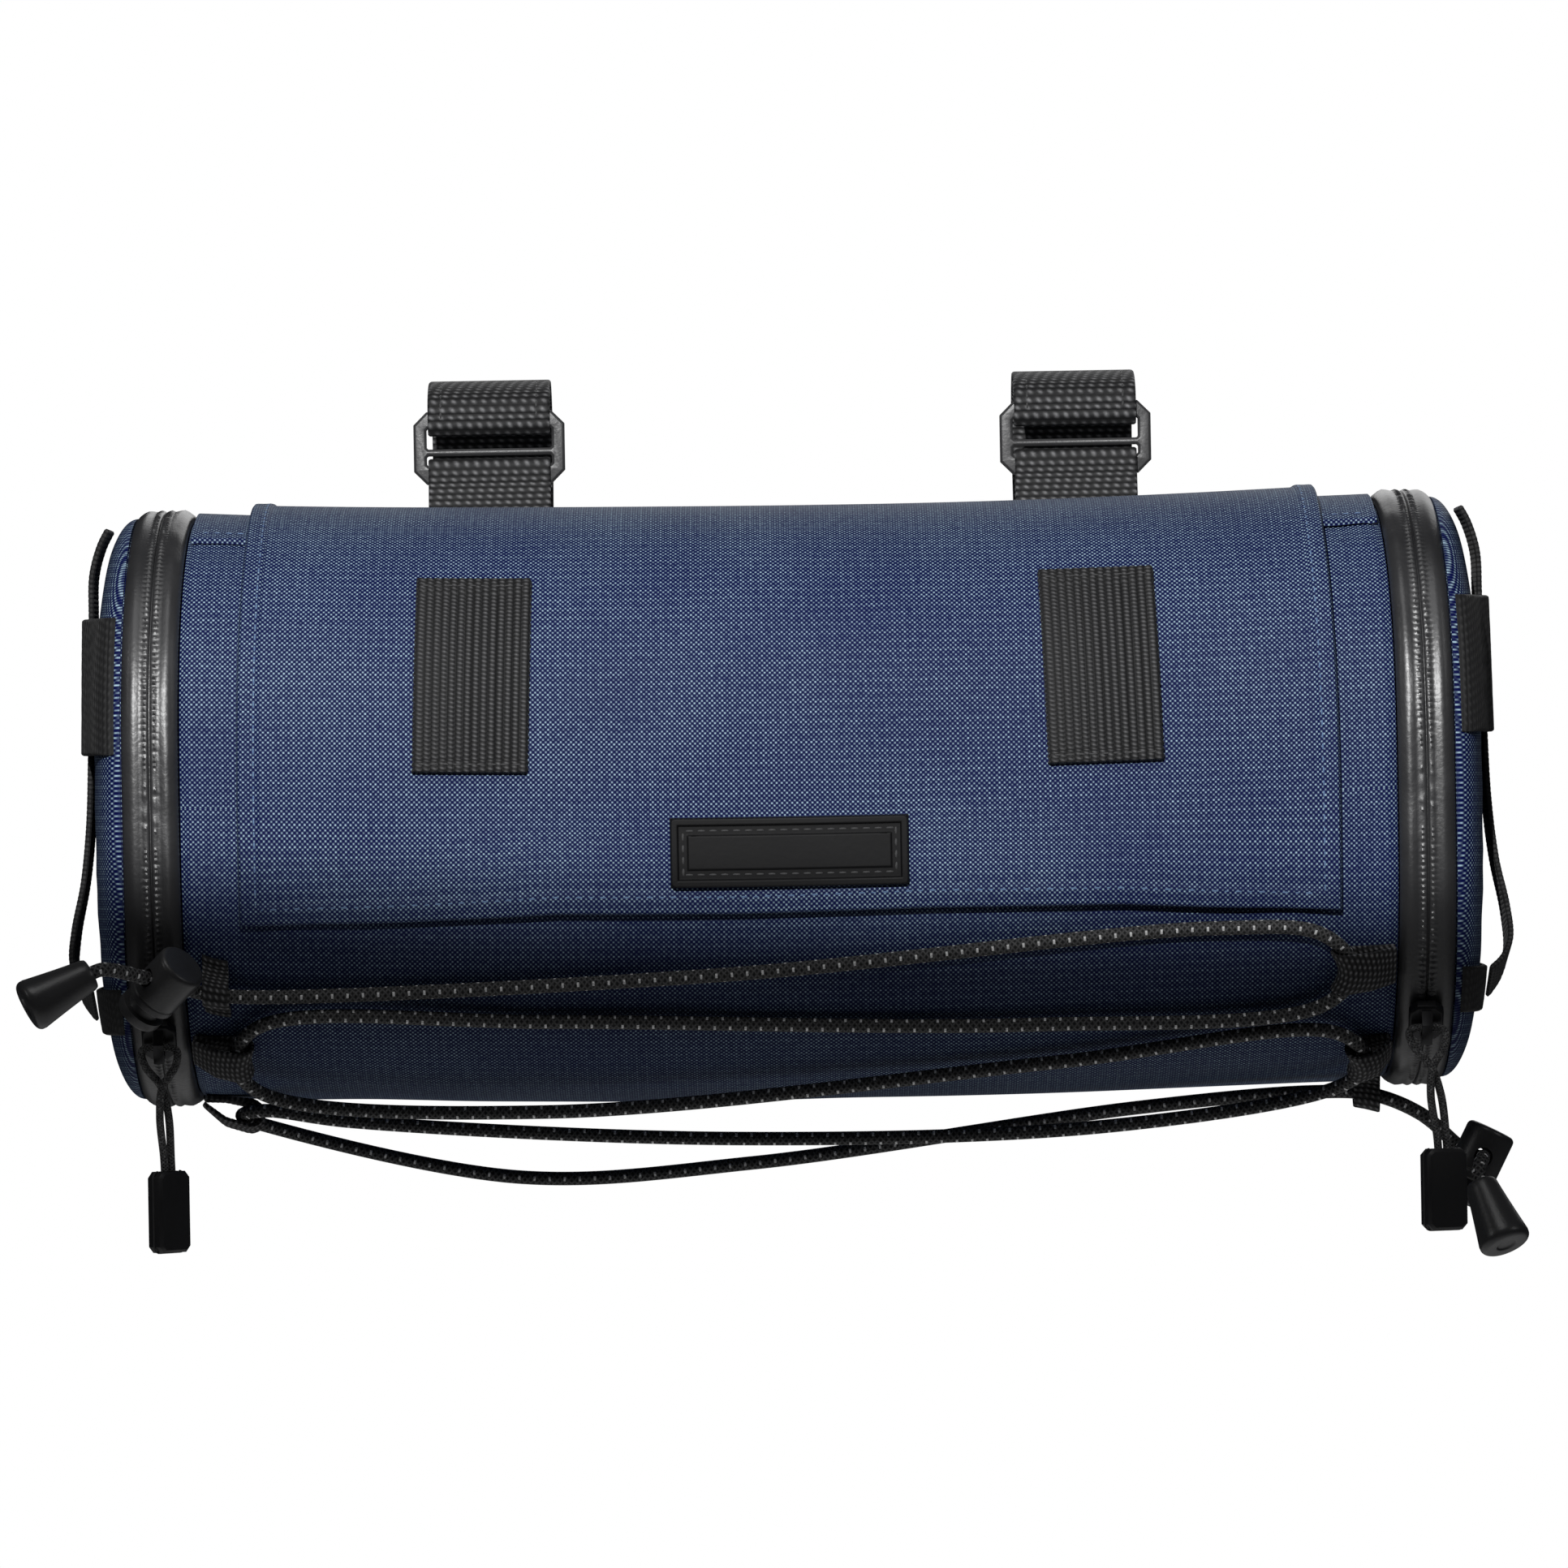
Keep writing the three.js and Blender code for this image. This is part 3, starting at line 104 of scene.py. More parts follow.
# The side strap from top to foot: share of the half height, stand-off, twist
SIDE_STRAP_ROWS = [
    (0.955, 0, 0),
    (0.9, 0.1, 0),
    (0.8, 0.18, 0),
    (0.66, 0.05, 0),
    (0.5, 0, 0),
    (0.2, 0, 0),
    (-0.05, 0.12, 0),
    (-0.25, 0.4, 0),
    (-0.42, 0.85, 4),
    (-0.54, 1, 10),
    (-0.62, 0.72, 17),
    (-0.67, 0.25, 22),
]
BUNGEE_ROUTE = [
    (-176.6, -179.8, -134.1),
    (-171.4, -178.5, -131.4),
    (-168.6, -177.0, -130.5),
    (-159.2, -169.2, -132.7),
    (-148.6, -160.8, -136.1),
    (-142.5, -156.8, -137.6),
    (-129.0, -155.0, -138.4),
    (-15.1, -157.2, -134.7),
    (105.0, -159.6, -125.4),
    (131.0, -160.0, -127.4),
    (138.6, -157.3, -136.1),
    (131.0, -152.0, -145.0),
    (59.1, -149.4, -148.6),
    (-60.0, -151.2, -145.8),
    (-131.0, -151.6, -145.4),
    (-138.4, -145.0, -153.8),
    (-131.5, -135.5, -163.0),
    (-62.1, -132.0, -168.6),
    (65.2, -140.6, -158.2),
    (134.0, -146.6, -151.8),
    (142.7, -138.6, -159.2),
    (135.5, -127.6, -166.0),
    (79.5, -124.0, -174.7),
    (-15.0, -120.5, -176.4),
    (-111.0, -121.0, -170.4),
    (-131.6, -120.6, -167.4),
    (-138.4, -112.2, -168.8),
    (-131.6, -103.6, -172.0),
    (-69.2, -104.0, -185.7),
    (-10.0, -106.6, -183.0),
    (85.1, -112.0, -170.8),
    (130.0, -115.8, -167.4),
    (144.5, -116.0, -168.2),
    (157.0, -112.4, -173.4),
    (166.8, -107.6, -181.8),
    (170.3, -115.1, -184.0),
    (171.0, -122.0, -184.2),
    (171.5, -128.8, -184.1),
    (170.0, -134.3, -186.6),
    (170.2, -136.4, -190.2),
    (172.3, -139.1, -195.6),
]
# Loops on that route: the point that each holds, its width, and whether the cord turns back in it
LOOPS = {
    "right_upper": (10, 11, True),
    "right_middle": (20, 10, True),
    "left_middle": (15, 9, True),
    "left_lower": (26, 8, True),
    "left_upper": (5, 7, False),
    "right_lower": (32, 7, False),
}
# Locks and bells: lock centre, its axis, the cord's way, the bell's mouth and its way
CORD_ENDS = {
    "left": ((-153.9, -165, -134.4), (0.62, -0.48, 0.62), (0.76, 0.6, -0.245),
             (-171.4, -178.5, -131.4), (-0.87, -0.21, -0.45)),
    "right": ((171, -122, -184), (0.45, 0.045, 0.89), (0.1, -0.99, 0),
              (170.2, -136.4, -190.2), (0.32, -0.42, -0.85)),
}
PULLS = {"left": (-146, (-154.3, -161, -180.7)), "right": (-146.5, (159.4, -165, -180.4))}
# A pull cord's route: share of the way from tab to eye, side, depth, share of the tab's turn
PULL_ROWS = [
    (-0.1, -1.25, 0, 1),
    (0.1, -1.25, 0, 1),
    (0.45, -1.5, 0.6, 0.6),
    (0.68, 0.2, 1.4, 0),
    (0.86, 3.9, 1.0, 0),
    (0.98, 4.2, 0.4, 0),
    (1.01, 0, 0, 0),
    (0.98, -4.2, -0.4, 0),
    (0.86, -3.9, -1.0, 0),
    (0.68, -0.2, -1.4, 0),
    (0.45, 1.5, -0.6, 0.6),
    (0.1, 1.25, 0, 1),
    (-0.1, 1.25, 0, 1),
]


# The camera looks along +Y at the photograph's viewing angle
CAMERA_PLACE = (-1.1, -2810, -88)
CAMERA_ROLL = 1.0
FOCAL, SENSOR = 247, 36


def link(name, data):
    """A new object in the scene."""
    thing = bpy.data.objects.new(name, data)
    bpy.context.collection.objects.link(thing)
    return thing


def place_camera():
    camera = link("camera", bpy.data.cameras.new("camera"))
    camera.data.lens, camera.data.sensor_width = FOCAL, SENSOR
    camera.data.clip_start, camera.data.clip_end = 0.05, 50
    camera.location = Vector(CAMERA_PLACE) * MM
    camera.rotation_euler = (math.radians(90), math.radians(CAMERA_ROLL), 0)
    bpy.context.scene.camera = camera


place_camera()


# Materials: a small language for node maths
class Sum:
    """A value in a material's nodes."""

    def __init__(self, paint, socket):
        self.paint, self.socket = paint, socket

    def do(self, operation, *others):
        return self.paint.maths(operation, self, *others)

    __add__, __sub__ = partialmethod(do, "ADD"), partialmethod(do, "SUBTRACT")
    __mul__, __truediv__ = partialmethod(do, "MULTIPLY"), partialmethod(do, "DIVIDE")
    __pow__, sin = partialmethod(do, "POWER"), partialmethod(do, "SINE")
    abs, floor = partialmethod(do, "ABSOLUTE"), partialmethod(do, "FLOOR")
    fract = partialmethod(do, "FRACT")
    under, most = partialmethod(do, "LESS_THAN"), partialmethod(do, "MAXIMUM")


# The colour sockets of a mix node, whose names repeat
MIX_LOW, MIX_HIGH, MIX_RESULT = 6, 7, 2


class Paint:
    def __init__(self, name, rough, **constants):
        self.material = bpy.data.materials.new(name)
        self.material.use_nodes = True
        self.tree = self.material.node_tree
        self.shader = self.tree.nodes["Principled BSDF"]
        self.set(self.shader, "Roughness", rough)
        for key, value in constants.items():
            self.set(self.shader, key.replace("_", " "), value)

    def set(self, node, key, value):
        if isinstance(value, Sum):
            self.tree.links.new(value.socket, node.inputs[key])
        else:
            node.inputs[key].default_value = value

    def node(self, kind, **settings):
        node = self.tree.nodes.new(kind)
        for key, value in settings.items():
            setattr(node, key, value)
        return node

    def maths(self, operation, *values):
        node = self.node("ShaderNodeMath", operation=operation)
        for index, value in enumerate(values):
            self.set(node, index, value)
        return Sum(self, node.outputs[0])

    def uv(self):
        """The surface's own coordinates in millimetres: across, along."""
        place = self.node("ShaderNodeUVMap")
        split = self.node("ShaderNodeSeparateXYZ")
        self.tree.links.new(place.outputs[0], split.inputs[0])
        return Sum(self, split.outputs[0]), Sum(self, split.outputs[1])

    def noise(self, scale, detail=2.0, rough=0.5):
        """Noise from 0 to 1 over the object's own space, at a number of features a metre."""
        place = self.node("ShaderNodeTexCoord")
        node = self.node("ShaderNodeTexNoise")
        self.tree.links.new(place.outputs["Object"], node.inputs["Vector"])
        self.set(node, "Scale", scale)
        self.set(node, "Detail", detail)
        self.set(node, "Roughness", rough)
        return Sum(self, node.outputs[0])

    def colour(self, share, low, high):
        """The base colour, mixed between two by a share."""
        node = self.node("ShaderNodeMix", data_type="RGBA")
        self.set(node, "Factor", share)
        node.inputs[MIX_LOW].default_value = (*low, 1)
        node.inputs[MIX_HIGH].default_value = (*high, 1)
        self.tree.links.new(node.outputs[MIX_RESULT], self.shader.inputs["Base Color"])
        return self

    def bump(self, height, deep, strength=1.0):
        """Relief of a height from 0 to 1, deep in millimetres."""
        node = self.node("ShaderNodeBump")
        self.set(node, "Strength", strength)
        self.set(node, "Distance", deep * MM)
        self.set(node, "Height", height)
        self.tree.links.new(node.outputs[0], self.shader.inputs["Normal"])
        return self

    def shine(self, roughness):
        self.set(self.shader, "Roughness", roughness)
        return self


THREAD = 0.62  # pitch of the cloth's threads
RIPSTOP = 2.5  # pitch of its thicker threads


def ripstop_paint():
    paint = Paint("ripstop_blue", 0.58, Specular_IOR_Level=0.08)
    across, along = paint.uv()
    weave = (across * (TURN / (2 * THREAD))).sin() * (along * (TURN / (2 * THREAD))).sin()
    weave = weave * 0.5 + 0.5
    rows = ((along * (TURN / RIPSTOP)).sin() * 0.5 + 0.5) ** 7
    files = ((across * (TURN / RIPSTOP)).sin() * 0.5 + 0.5) ** 9
    patchy = paint.noise(28, 3)
    glint_breakup = paint.noise(900, 2)
    # The pale dots on the thread crowns are painted highlights: glints of light painted into the base
    # colour, broken up at random by two noises.
    painted_glints = weave ** 4 * (rows * 0.6 + files * 0.35 + 0.75)
    share = painted_glints * (patchy * 0.9 + 0.5) * (glint_breakup * 2.0 + 0.05)
    # Dark navy between the threads, and pale blue-grey painted highlights on the thread crowns.
    paint.colour(share, (0.00003, 0.002, 0.055), (0.4, 0.56, 0.66))
    height = weave * 0.7 + rows * 0.2 + files * 0.1
    return paint.bump(height, 0.16, 0.8).material


def webbing_paint(name, rib, dash, light=0.1, across_ribs=True):
    """Webbing whose ribs lie across its length, or along it, with a thread pattern on each rib."""
    paint = Paint(name, 0.7, Sheen_Weight=0.04, Specular_IOR_Level=0.35)
    across, along = paint.uv()
    if not across_ribs:
        across, along = along, across
    ridge = ((along * (math.pi / rib)).sin()).abs()
    row = (along / rib).floor()
    slant = across / dash + row * 0.5 + along * (0.35 / rib)
    thread = (slant * TURN).sin() * 0.5 + 0.5
    fuzz = paint.noise(1600, 2)
    height = ridge * 0.6 + thread * 0.4
    share = ridge ** 2.5 * (thread ** 2 * 0.9 + 0.12) * (fuzz * 1.1 + 0.35)
    paint.colour(share, (0.004, 0.004, 0.0045), (light, light, light * 1.03))
    return paint.bump(height, 0.22, 0.9).material


def zip_paint():
    paint = Paint("zip_tape", 0.42, Coat_Weight=0.3, Coat_Roughness=0.38)
    cloud = paint.noise(60, 4)
    fine = paint.noise(900, 3)
    paint.colour(cloud, (0.014, 0.014, 0.015), (0.04, 0.04, 0.042))
    paint.shine(cloud * 0.22 + fine * 0.12 + 0.2)
    return paint.bump(fine * 0.5 + cloud, 0.3, 0.6).material


def plain_paint(name, low, high, rough, grain=700, deep=0.05, **constants):
    """Moulded or painted material with a fine grain and slow changes in shade."""
    paint = Paint(name, rough, **constants)
    grainy = paint.noise(grain, 3)
    cloud = paint.noise(grain / 14, 2)
    paint.colour(cloud * 0.7 + grainy * 0.3, low, high)
    paint.shine(cloud * 0.16 + (rough - 0.08))
    return paint.bump(grainy, deep, 0.7).material


TICK_PITCH = 3.8
TICK_ROWS = 4


def braid_paint(name, diameter, pale, tick):
    """Braided cord, with pale ticks in rows along it where tick is true."""
    paint = Paint(name, 0.7, Specular_IOR_Level=0.35)
    around, along = paint.uv()
    girth = math.pi * diameter
    lay = diameter * 0.42
    one = ((along / lay + around * (6 / girth)) * TURN).sin()
    two = ((along / lay - around * (6 / girth)) * TURN).sin()
    weave = one.most(two) * 0.5 + 0.5
    fuzz = paint.noise(2400, 2)
    if tick:
        row = around * (TICK_ROWS / girth)
        stagger = row.floor() * 0.5
        pale_tick = (along / TICK_PITCH + stagger).fract().under(0.15) * row.fract().under(0.42)
        share = weave ** 2 * 0.2 * fuzz + pale_tick * 0.9
    else:
        speck = paint.noise(1500, 1, 0.8)
        share = weave * 0.2 + (speck - 0.5).most(0.0) * 1.6
    paint.colour(share, (0.006, 0.006, 0.007), (pale, pale, pale))
    return paint.bump(weave, 0.2, 0.9).material


def thread_paint(name, shade):
    paint = Paint(name, 0.7, Sheen_Weight=0.2)
    twist = paint.noise(2600, 2)
    paint.colour(twist, tuple(c * 0.6 for c in shade), shade)
    return paint.bump(twist, 0.05).material


PAINTS = {
    "ripstop": ripstop_paint(),
    "webbing": webbing_paint("webbing_black", 1.75, 2.6, 0.2),
    "patch": webbing_paint("webbing_patch", 2.04, 1.1, 0.11, across_ribs=False),
    "loop": webbing_paint("webbing_narrow", 1.3, 1.6, 0.24),
    "side": webbing_paint("webbing_side", 1.2, 2.2, 0.025),
    "zip": zip_paint(),
    "rubber": plain_paint("label_rubber", (0.003, 0.003, 0.0035), (0.006, 0.006, 0.0065), 0.6,
                          Specular_IOR_Level=0.2),
    "plastic": plain_paint("moulded_plastic", (0.035, 0.035, 0.036), (0.06, 0.06, 0.062), 0.36,
                           1300, 0.06),
    "metal": plain_paint("painted_metal", (0.01, 0.01, 0.011), (0.03, 0.03, 0.032), 0.36,
                         900, 0.03, Metallic=0.6),
    "tab": plain_paint("tab_rubber", (0.01, 0.01, 0.011), (0.02, 0.02, 0.022), 0.5),
    "bungee": braid_paint("bungee_braid", BUNGEE, 1.0, True),
    "pull": braid_paint("pull_braid", PULL_CORD, 0.5, False),
    "blue_thread": thread_paint("blue_thread", (0.13, 0.23, 0.42)),
    "black_thread": thread_paint("black_thread", (0.05, 0.05, 0.052)),
}


# Meshes
def bare_piece(name, points, faces):
    """An object from points in millimetres and faces, without a material."""
    mesh = bpy.data.meshes.new(name)
    mesh.from_pydata((np.asarray(points, float) * MM).tolist(), [], [list(map(int, f)) for f in faces])
    return link(name, mesh)


def dress(piece, paint, body, sharp):
    """Gives a piece its paint, smooth shading up to a sharp angle, and body."""
    piece.data.materials.clear()
    piece.data.materials.append(PAINTS[paint])
    piece.data.shade_smooth()
    piece.data.set_sharp_from_angle(angle=math.radians(sharp))
    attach(piece, body)
    return piece


def make_piece(name, points, faces, uvs, paint, slot, body="root", sharp=40):
    """A piece from points in millimetres, faces, and one uv in millimetres for each face corner."""
    piece = bare_piece(name, points, faces)
    layer = piece.data.uv_layers.new(name="UVMap")
    layer.data.foreach_set("uv", np.asarray(uvs, np.float32).ravel())
    return dress(piece, paint, body, sharp)


def points_in(points, faces):
    """Whether the quads of a closed body point into it."""
    quads = points[faces]
    return np.einsum("ij,ij->", quads[:, 0] + quads[:, 2],
                     np.cross(quads[:, 1] - quads[:, 0], quads[:, 3] - quads[:, 0])) < 0


def measures(grid, closed=False):
    """Distances in millimetres along a grid's rows and across its columns, averaged."""
    p = np.concatenate([grid, grid[:1]]) if closed else grid
    rows = np.linalg.norm(np.diff(p, axis=0), axis=2).mean(axis=1)
    columns = np.linalg.norm(np.diff(p, axis=1), axis=2).mean(axis=0)
    return np.concatenate([[0], rows.cumsum()]), np.concatenate([[0], columns.cumsum()])


def slab(name, outer, inner, paint, slot, wrap=False, **more):
    """A closed slab between two grids of points. With wrap the last row joins the first. The uv runs
    across along the columns and along over the rows."""
    outer, inner = np.asarray(outer, float), np.asarray(inner, float)
    rows, columns = outer.shape[:2]
    along, across = measures(outer, wrap)
    points = np.concatenate([outer.reshape(-1, 3), inner.reshape(-1, 3)])
    step = rows if wrap else rows - 1
    i, j = np.meshgrid(np.arange(step), np.arange(columns - 1), indexing="ij")
    i, j = i.ravel(), j.ravel()
    nxt = (i + 1) % rows

    def at(side, a, b):
        return side * rows * columns + a * columns + b

    def uv(a, b):
        return np.stack(np.broadcast_arrays(across[b], along[a]), axis=-1)

    faces = [np.stack([at(0, i, j), at(0, i, j + 1), at(0, nxt, j + 1), at(0, nxt, j)], 1),
             np.stack([at(1, i, j), at(1, nxt, j), at(1, nxt, j + 1), at(1, i, j + 1)], 1)]
    uvs = [np.stack([uv(i, j), uv(i, j + 1), uv(i + 1, j + 1), uv(i + 1, j)], 1),
           np.stack([uv(i, j), uv(i + 1, j), uv(i + 1, j + 1), uv(i, j + 1)], 1)]

    def close(edge, place, flip):
        faces.append(np.stack(edge[::-1] if flip else edge, 1))
        uvs.append(np.stack(place[::-1] if flip else place, 1))

    a = np.arange(step)
    b = (a + 1) % rows
    for column, flip in ((0, False), (columns - 1, True)):
        close([at(0, a, column), at(0, b, column), at(1, b, column), at(1, a, column)],
              [uv(a, column), uv(a + 1, column), uv(a + 1, column), uv(a, column)], flip)
    if not wrap:
        c = np.arange(columns - 1)
        for row, flip in ((0, True), (rows - 1, False)):
            close([at(0, row, c), at(0, row, c + 1), at(1, row, c + 1), at(1, row, c)],
                  [uv(row, c), uv(row, c + 1), uv(row, c + 1), uv(row, c)], flip)
    faces, uvs = np.concatenate(faces), np.concatenate(uvs)
    if points_in(points, faces):
        faces, uvs = faces[:, ::-1], uvs[:, ::-1]
    return make_piece(name, points, faces, uvs, paint, slot, **more)


def tube_faces(rows, columns, closed):
    """Quads over a grid of rows whose columns close on themselves, and the uv's row and column."""
    step = rows if closed else rows - 1
    i, j = np.meshgrid(np.arange(step), np.arange(columns), indexing="ij")
    i, j = i.ravel(), j.ravel()
    n, m = (i + 1) % rows, (j + 1) % columns
    faces = np.stack([i * columns + j, n * columns + j, n * columns + m, i * columns + m], 1)
    corners = np.stack([np.stack([i, j], 1), np.stack([i + 1, j], 1),
                        np.stack([i + 1, j + 1], 1), np.stack([i, j + 1], 1)], 1)
    return faces, corners


def sleeve(name, grid, paint, slot, closed=False, **more):
    """A closed body over rows of closed profiles: a ring when closed, or with capped ends."""
    grid = np.asarray(grid, float)
    rows, columns = grid.shape[:2]
    along = measures(grid, closed)[0]
    around = measures(np.concatenate([grid, grid[:, :1]], axis=1))[1]
    faces, corners = tube_faces(rows, columns, closed)
    uvs = np.stack([around[corners[..., 1]], along[corners[..., 0]]], axis=-1)
    points = grid.reshape(-1, 3)
    # A cap turns the other way from the quads that meet it
    caps = [list(range(columns)), list(range(rows * columns - 1, (rows - 1) * columns - 1, -1))]
    if points_in(points, faces):
        faces, uvs, caps = faces[:, ::-1], uvs[:, ::-1], [cap[::-1] for cap in caps]
    faces, flat = faces.tolist(), uvs.reshape(-1, 2).tolist()
    if not closed:
        faces += caps
        flat += [[0, 0]] * (2 * columns)
    return make_piece(name, points, faces, flat, paint, slot, **more)


def run_of(path):
    """Distances along a path of points, from its start."""
    return np.concatenate([[0], np.linalg.norm(np.diff(path, axis=0), axis=1).cumsum()])


def points_at(at, run, path):
    """Points of a path at distances along it."""
    return np.stack([np.interp(at, run, path[:, k]) for k in range(3)], axis=-1)


def unit(ways):
    """Directions, each with a length of one."""
    return ways / np.linalg.norm(ways, axis=-1, keepdims=True)


def smoothed(path, times=3):
    """A path whose points move towards their neighbours, with its ends held."""
    for _ in range(times):
        path[1:-1] = (path[:-2] + 2 * path[1:-1] + path[2:]) / 4
    return path


def centripetal(points, step):
    """A smooth path through points, as the CAD model's cords take, at even steps in millimetres."""
    p = np.asarray(points, float)
    p = np.concatenate([[2 * p[0] - p[1]], p, [2 * p[-1] - p[-2]]])
    out = []
    for k in range(1, len(p) - 2):
        p0, p1, p2, p3 = p[k - 1 : k + 3]
        d0, d1, d2 = (np.linalg.norm(b - a) ** 0.5 for a, b in ((p0, p1), (p1, p2), (p2, p3)))
        t1 = ((p1 - p0) / d0 - (p2 - p0) / (d0 + d1) + (p2 - p1) / d1) * d1
        t2 = ((p2 - p1) / d1 - (p3 - p1) / (d1 + d2) + (p3 - p2) / d2) * d1
        t = np.linspace(0, 1, 60, endpoint=False)[:, None]
        out.append(p1 + t1 * t + (3 * (p2 - p1) - 2 * t1 - t2) * t**2 + (2 * (p1 - p2) + t1 + t2) * t**3)
    out.append(p[-2][None])
    return even(np.concatenate(out), step)


def even(path, step):
    """A path of points, stepped evenly."""
    path = np.asarray(path, float)
    run = run_of(path)
    keep = np.concatenate([[True], np.diff(run) > 1e-9])
    path, run = path[keep], run[keep]
    count = max(2, int(round(run[-1] / step)) + 1)
    return points_at(np.linspace(0, run[-1], count), run, path)


def length_of(path):
    return float(np.linalg.norm(np.diff(path, axis=0), axis=1).sum())


def frames_on(path):
    """Directions along a path and two across it, carried along without twist."""
    way = unit(np.gradient(path, axis=0))
    side = np.cross(way[0], (0.2, 0.1, 1.0))
    sides = []
    for direction in way:
        side = side - direction * side.dot(direction)
        side = side / np.linalg.norm(side)
        sides.append(side)
    sides = np.array(sides)
    return way, sides, np.cross(way, sides)


def tube_grid(path, radius, count=12):
    """Rings of points round a path."""
    _, one, two = frames_on(path)
    turn = np.arange(count) * TURN / count
    ring = one[:, None] * np.cos(turn)[None, :, None] + two[:, None] * np.sin(turn)[None, :, None]
    return path[:, None] + ring * radius


# A stitch's outline: share along it, its size and how far its middle rises
STITCH_PROFILE = [(-0.5, 0.35, -0.35), (-0.34, 0.9, 0.0), (0, 1, 0.12), (0.34, 0.9, 0.0),
                  (0.5, 0.35, -0.35)]
STITCH_SIDES = 6


def stitches(name, lines, paint="black_thread", long=STITCH, thick=0.5, slot="webbing", sink=0.1):
    """Rows of sewn stitches. Each line is (path, outward direction at each point of it)."""
    points, faces = [], []
    turn = np.arange(STITCH_SIDES) * TURN / STITCH_SIDES
    last = (len(STITCH_PROFILE) - 1) * STITCH_SIDES
    for path, ways in lines:
        path, ways = np.asarray(path, float), np.asarray(ways, float)
        run = run_of(path)
        for at in np.arange(STITCH_PITCH / 2, run[-1], STITCH_PITCH):
            here, a, b = (points_at(v, run, path) for v in (at, at - 0.3, at + 0.3))
            along = unit(b - a)
            out = points_at(at, run, ways)
            out = unit(out - along * out.dot(along))
            side = np.cross(along, out)
            base = len(points)
            for share, size, rise in STITCH_PROFILE:
                centre = here + along * share * long + out * (thick * rise - sink)
                points += [centre + (side * math.cos(t) + out * math.sin(t)) * size * thick / 2
                           for t in turn]
            for first in range(base, base + last, STITCH_SIDES):
                for k in range(STITCH_SIDES):
                    a0, b0 = first + k, first + (k + 1) % STITCH_SIDES
                    faces.append([a0, b0, b0 + STITCH_SIDES, a0 + STITCH_SIDES])
            faces.append([base + k for k in reversed(range(STITCH_SIDES))])
            faces.append([base + last + k for k in range(STITCH_SIDES)])
    uvs = [[0, 0]] * sum(map(len, faces))
    return make_piece(name, points, faces, uvs, paint, slot, sharp=80)


def sewn(place, lift):
    """A line to stitch on the face that place gives at a lift, with the ways out of it."""
    path = place(lift)
    return path, place(lift + 1) - path


# The barrel's skin
def soft(x, angle, seed, count, deep, wide, tall):
    """Shallow folds in cloth, as a height in millimetres over the skin."""
    random = np.random.default_rng(seed)
    height = np.zeros(np.broadcast(x, angle).shape)
    for _ in range(count):
        cx, ca = random.uniform(-150, 150), random.uniform(-180, 180)
        lean, size = random.uniform(-0.6, 0.6), random.uniform(0.3, 1)
        dx = (x - cx) + lean * (np.degrees(angle) - ca)
        da = (np.degrees(angle) - ca + 180) % 360 - 180
        height += deep * size * np.exp(-((dx / wide) ** 2) - (da / tall) ** 2)
    return height


def dent_at(x, angle):
    depth = np.zeros(np.broadcast(x, angle).shape)
    for along, middle, deep, wide, tall in DENTS:
        depth += deep * np.exp(-(((x / BARREL_HALF) - along) / wide) ** 2
                               - ((np.degrees(angle) - middle) / tall) ** 2)
    return depth


def skin(x, angle, lift=0.0):
    """Points on the barrel's skin at x and at an angle round it: 0 is the front and 90 the top."""
    x, angle, lift = (v.astype(float) for v in np.broadcast_arrays(x, angle, lift))
    power, slope = 2 / SQUARENESS, SQUARENESS - 1
    c, s = np.cos(angle), np.sin(angle)
    y = -np.sign(c) * np.abs(c) ** power
    z = np.sign(s) * np.abs(s) ** power
    ny = np.sign(y) * np.abs(y) ** slope / HALF_DEPTH
    nz = np.sign(z) * np.abs(z) ** slope / HALF_HEIGHT
    size = np.hypot(ny, nz)
    along = np.minimum(1, np.abs(x) / BARREL_HALF)
    take_in = np.where(z > 0, TOP_TAKE_IN, FOOT_TAKE_IN) * np.abs(z) ** 3 * along**3
    off = lift - dent_at(x, angle)
    return np.stack([x - np.sign(x) * take_in,
                     BAG_Y + y * HALF_DEPTH + ny / size * off,
                     BAG_Z + z * HALF_HEIGHT + nz / size * off - DROOP * (1 - along**2)], axis=-1)


def angle_at(z, back=False):
    share = (z - BAG_Z) / HALF_HEIGHT
    angle = np.sign(share) * np.arcsin(np.abs(share) ** (SQUARENESS / 2))
    return math.pi - angle if back else angle


def near_seam(x, angle):
    """Gathers that run in from the zip bands' seams."""
    edge = np.exp(-(((np.abs(x) - BARREL_HALF) / 16) ** 2))
    wave = np.sin(angle * 13 + 1.3 * np.sign(x)) * 0.5 + np.sin(angle * 29 + 0.7) * 0.3
    return 0.5 * edge * wave * np.minimum(1, (BARREL_HALF - np.abs(x)) / 5)


def barrel_cloth(x, angle):
    wave = 0.28 * np.sin(x / 17 + 2 * np.sin(angle * 2)) * np.sin(angle * 5 + x / 60)
    under = np.exp(-((np.degrees(angle) + 48) / 22) ** 2)
    puckers = under * 0.35 * np.sin(x / 6.5 + 3 * np.sin(x / 40))
    return near_seam(x, angle) + 0.6 * wave + puckers + soft(x, angle, 3, 26, -0.7, 13, 20)


BARREL_ROWS, BARREL_COLUMNS = 220, 131
TUCK, TUCK_WIDTH = 1.1, 2.2  # where the cloth turns in at the zip bands


def make_barrel():
    angles = np.arange(BARREL_ROWS) * TURN / BARREL_ROWS
    even_xs = np.linspace(-1, 1, BARREL_COLUMNS)
    xs = np.sin(even_xs * math.pi / 2) * 0.35 + even_xs * 0.65
    x, angle = np.meshgrid(xs * BARREL_HALF, angles)
    tuck = -TUCK * np.clip((np.abs(x) - BARREL_HALF + TUCK_WIDTH) / TUCK_WIDTH, 0, 1) ** 2
    piece = slab("barrel_cloth", skin(x, angle, barrel_cloth(x, angle) + tuck),
                 skin(x, angle, -CLOTH - 0.4), "ripstop", "ripstop", wrap=True)
    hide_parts("barrel_shell")


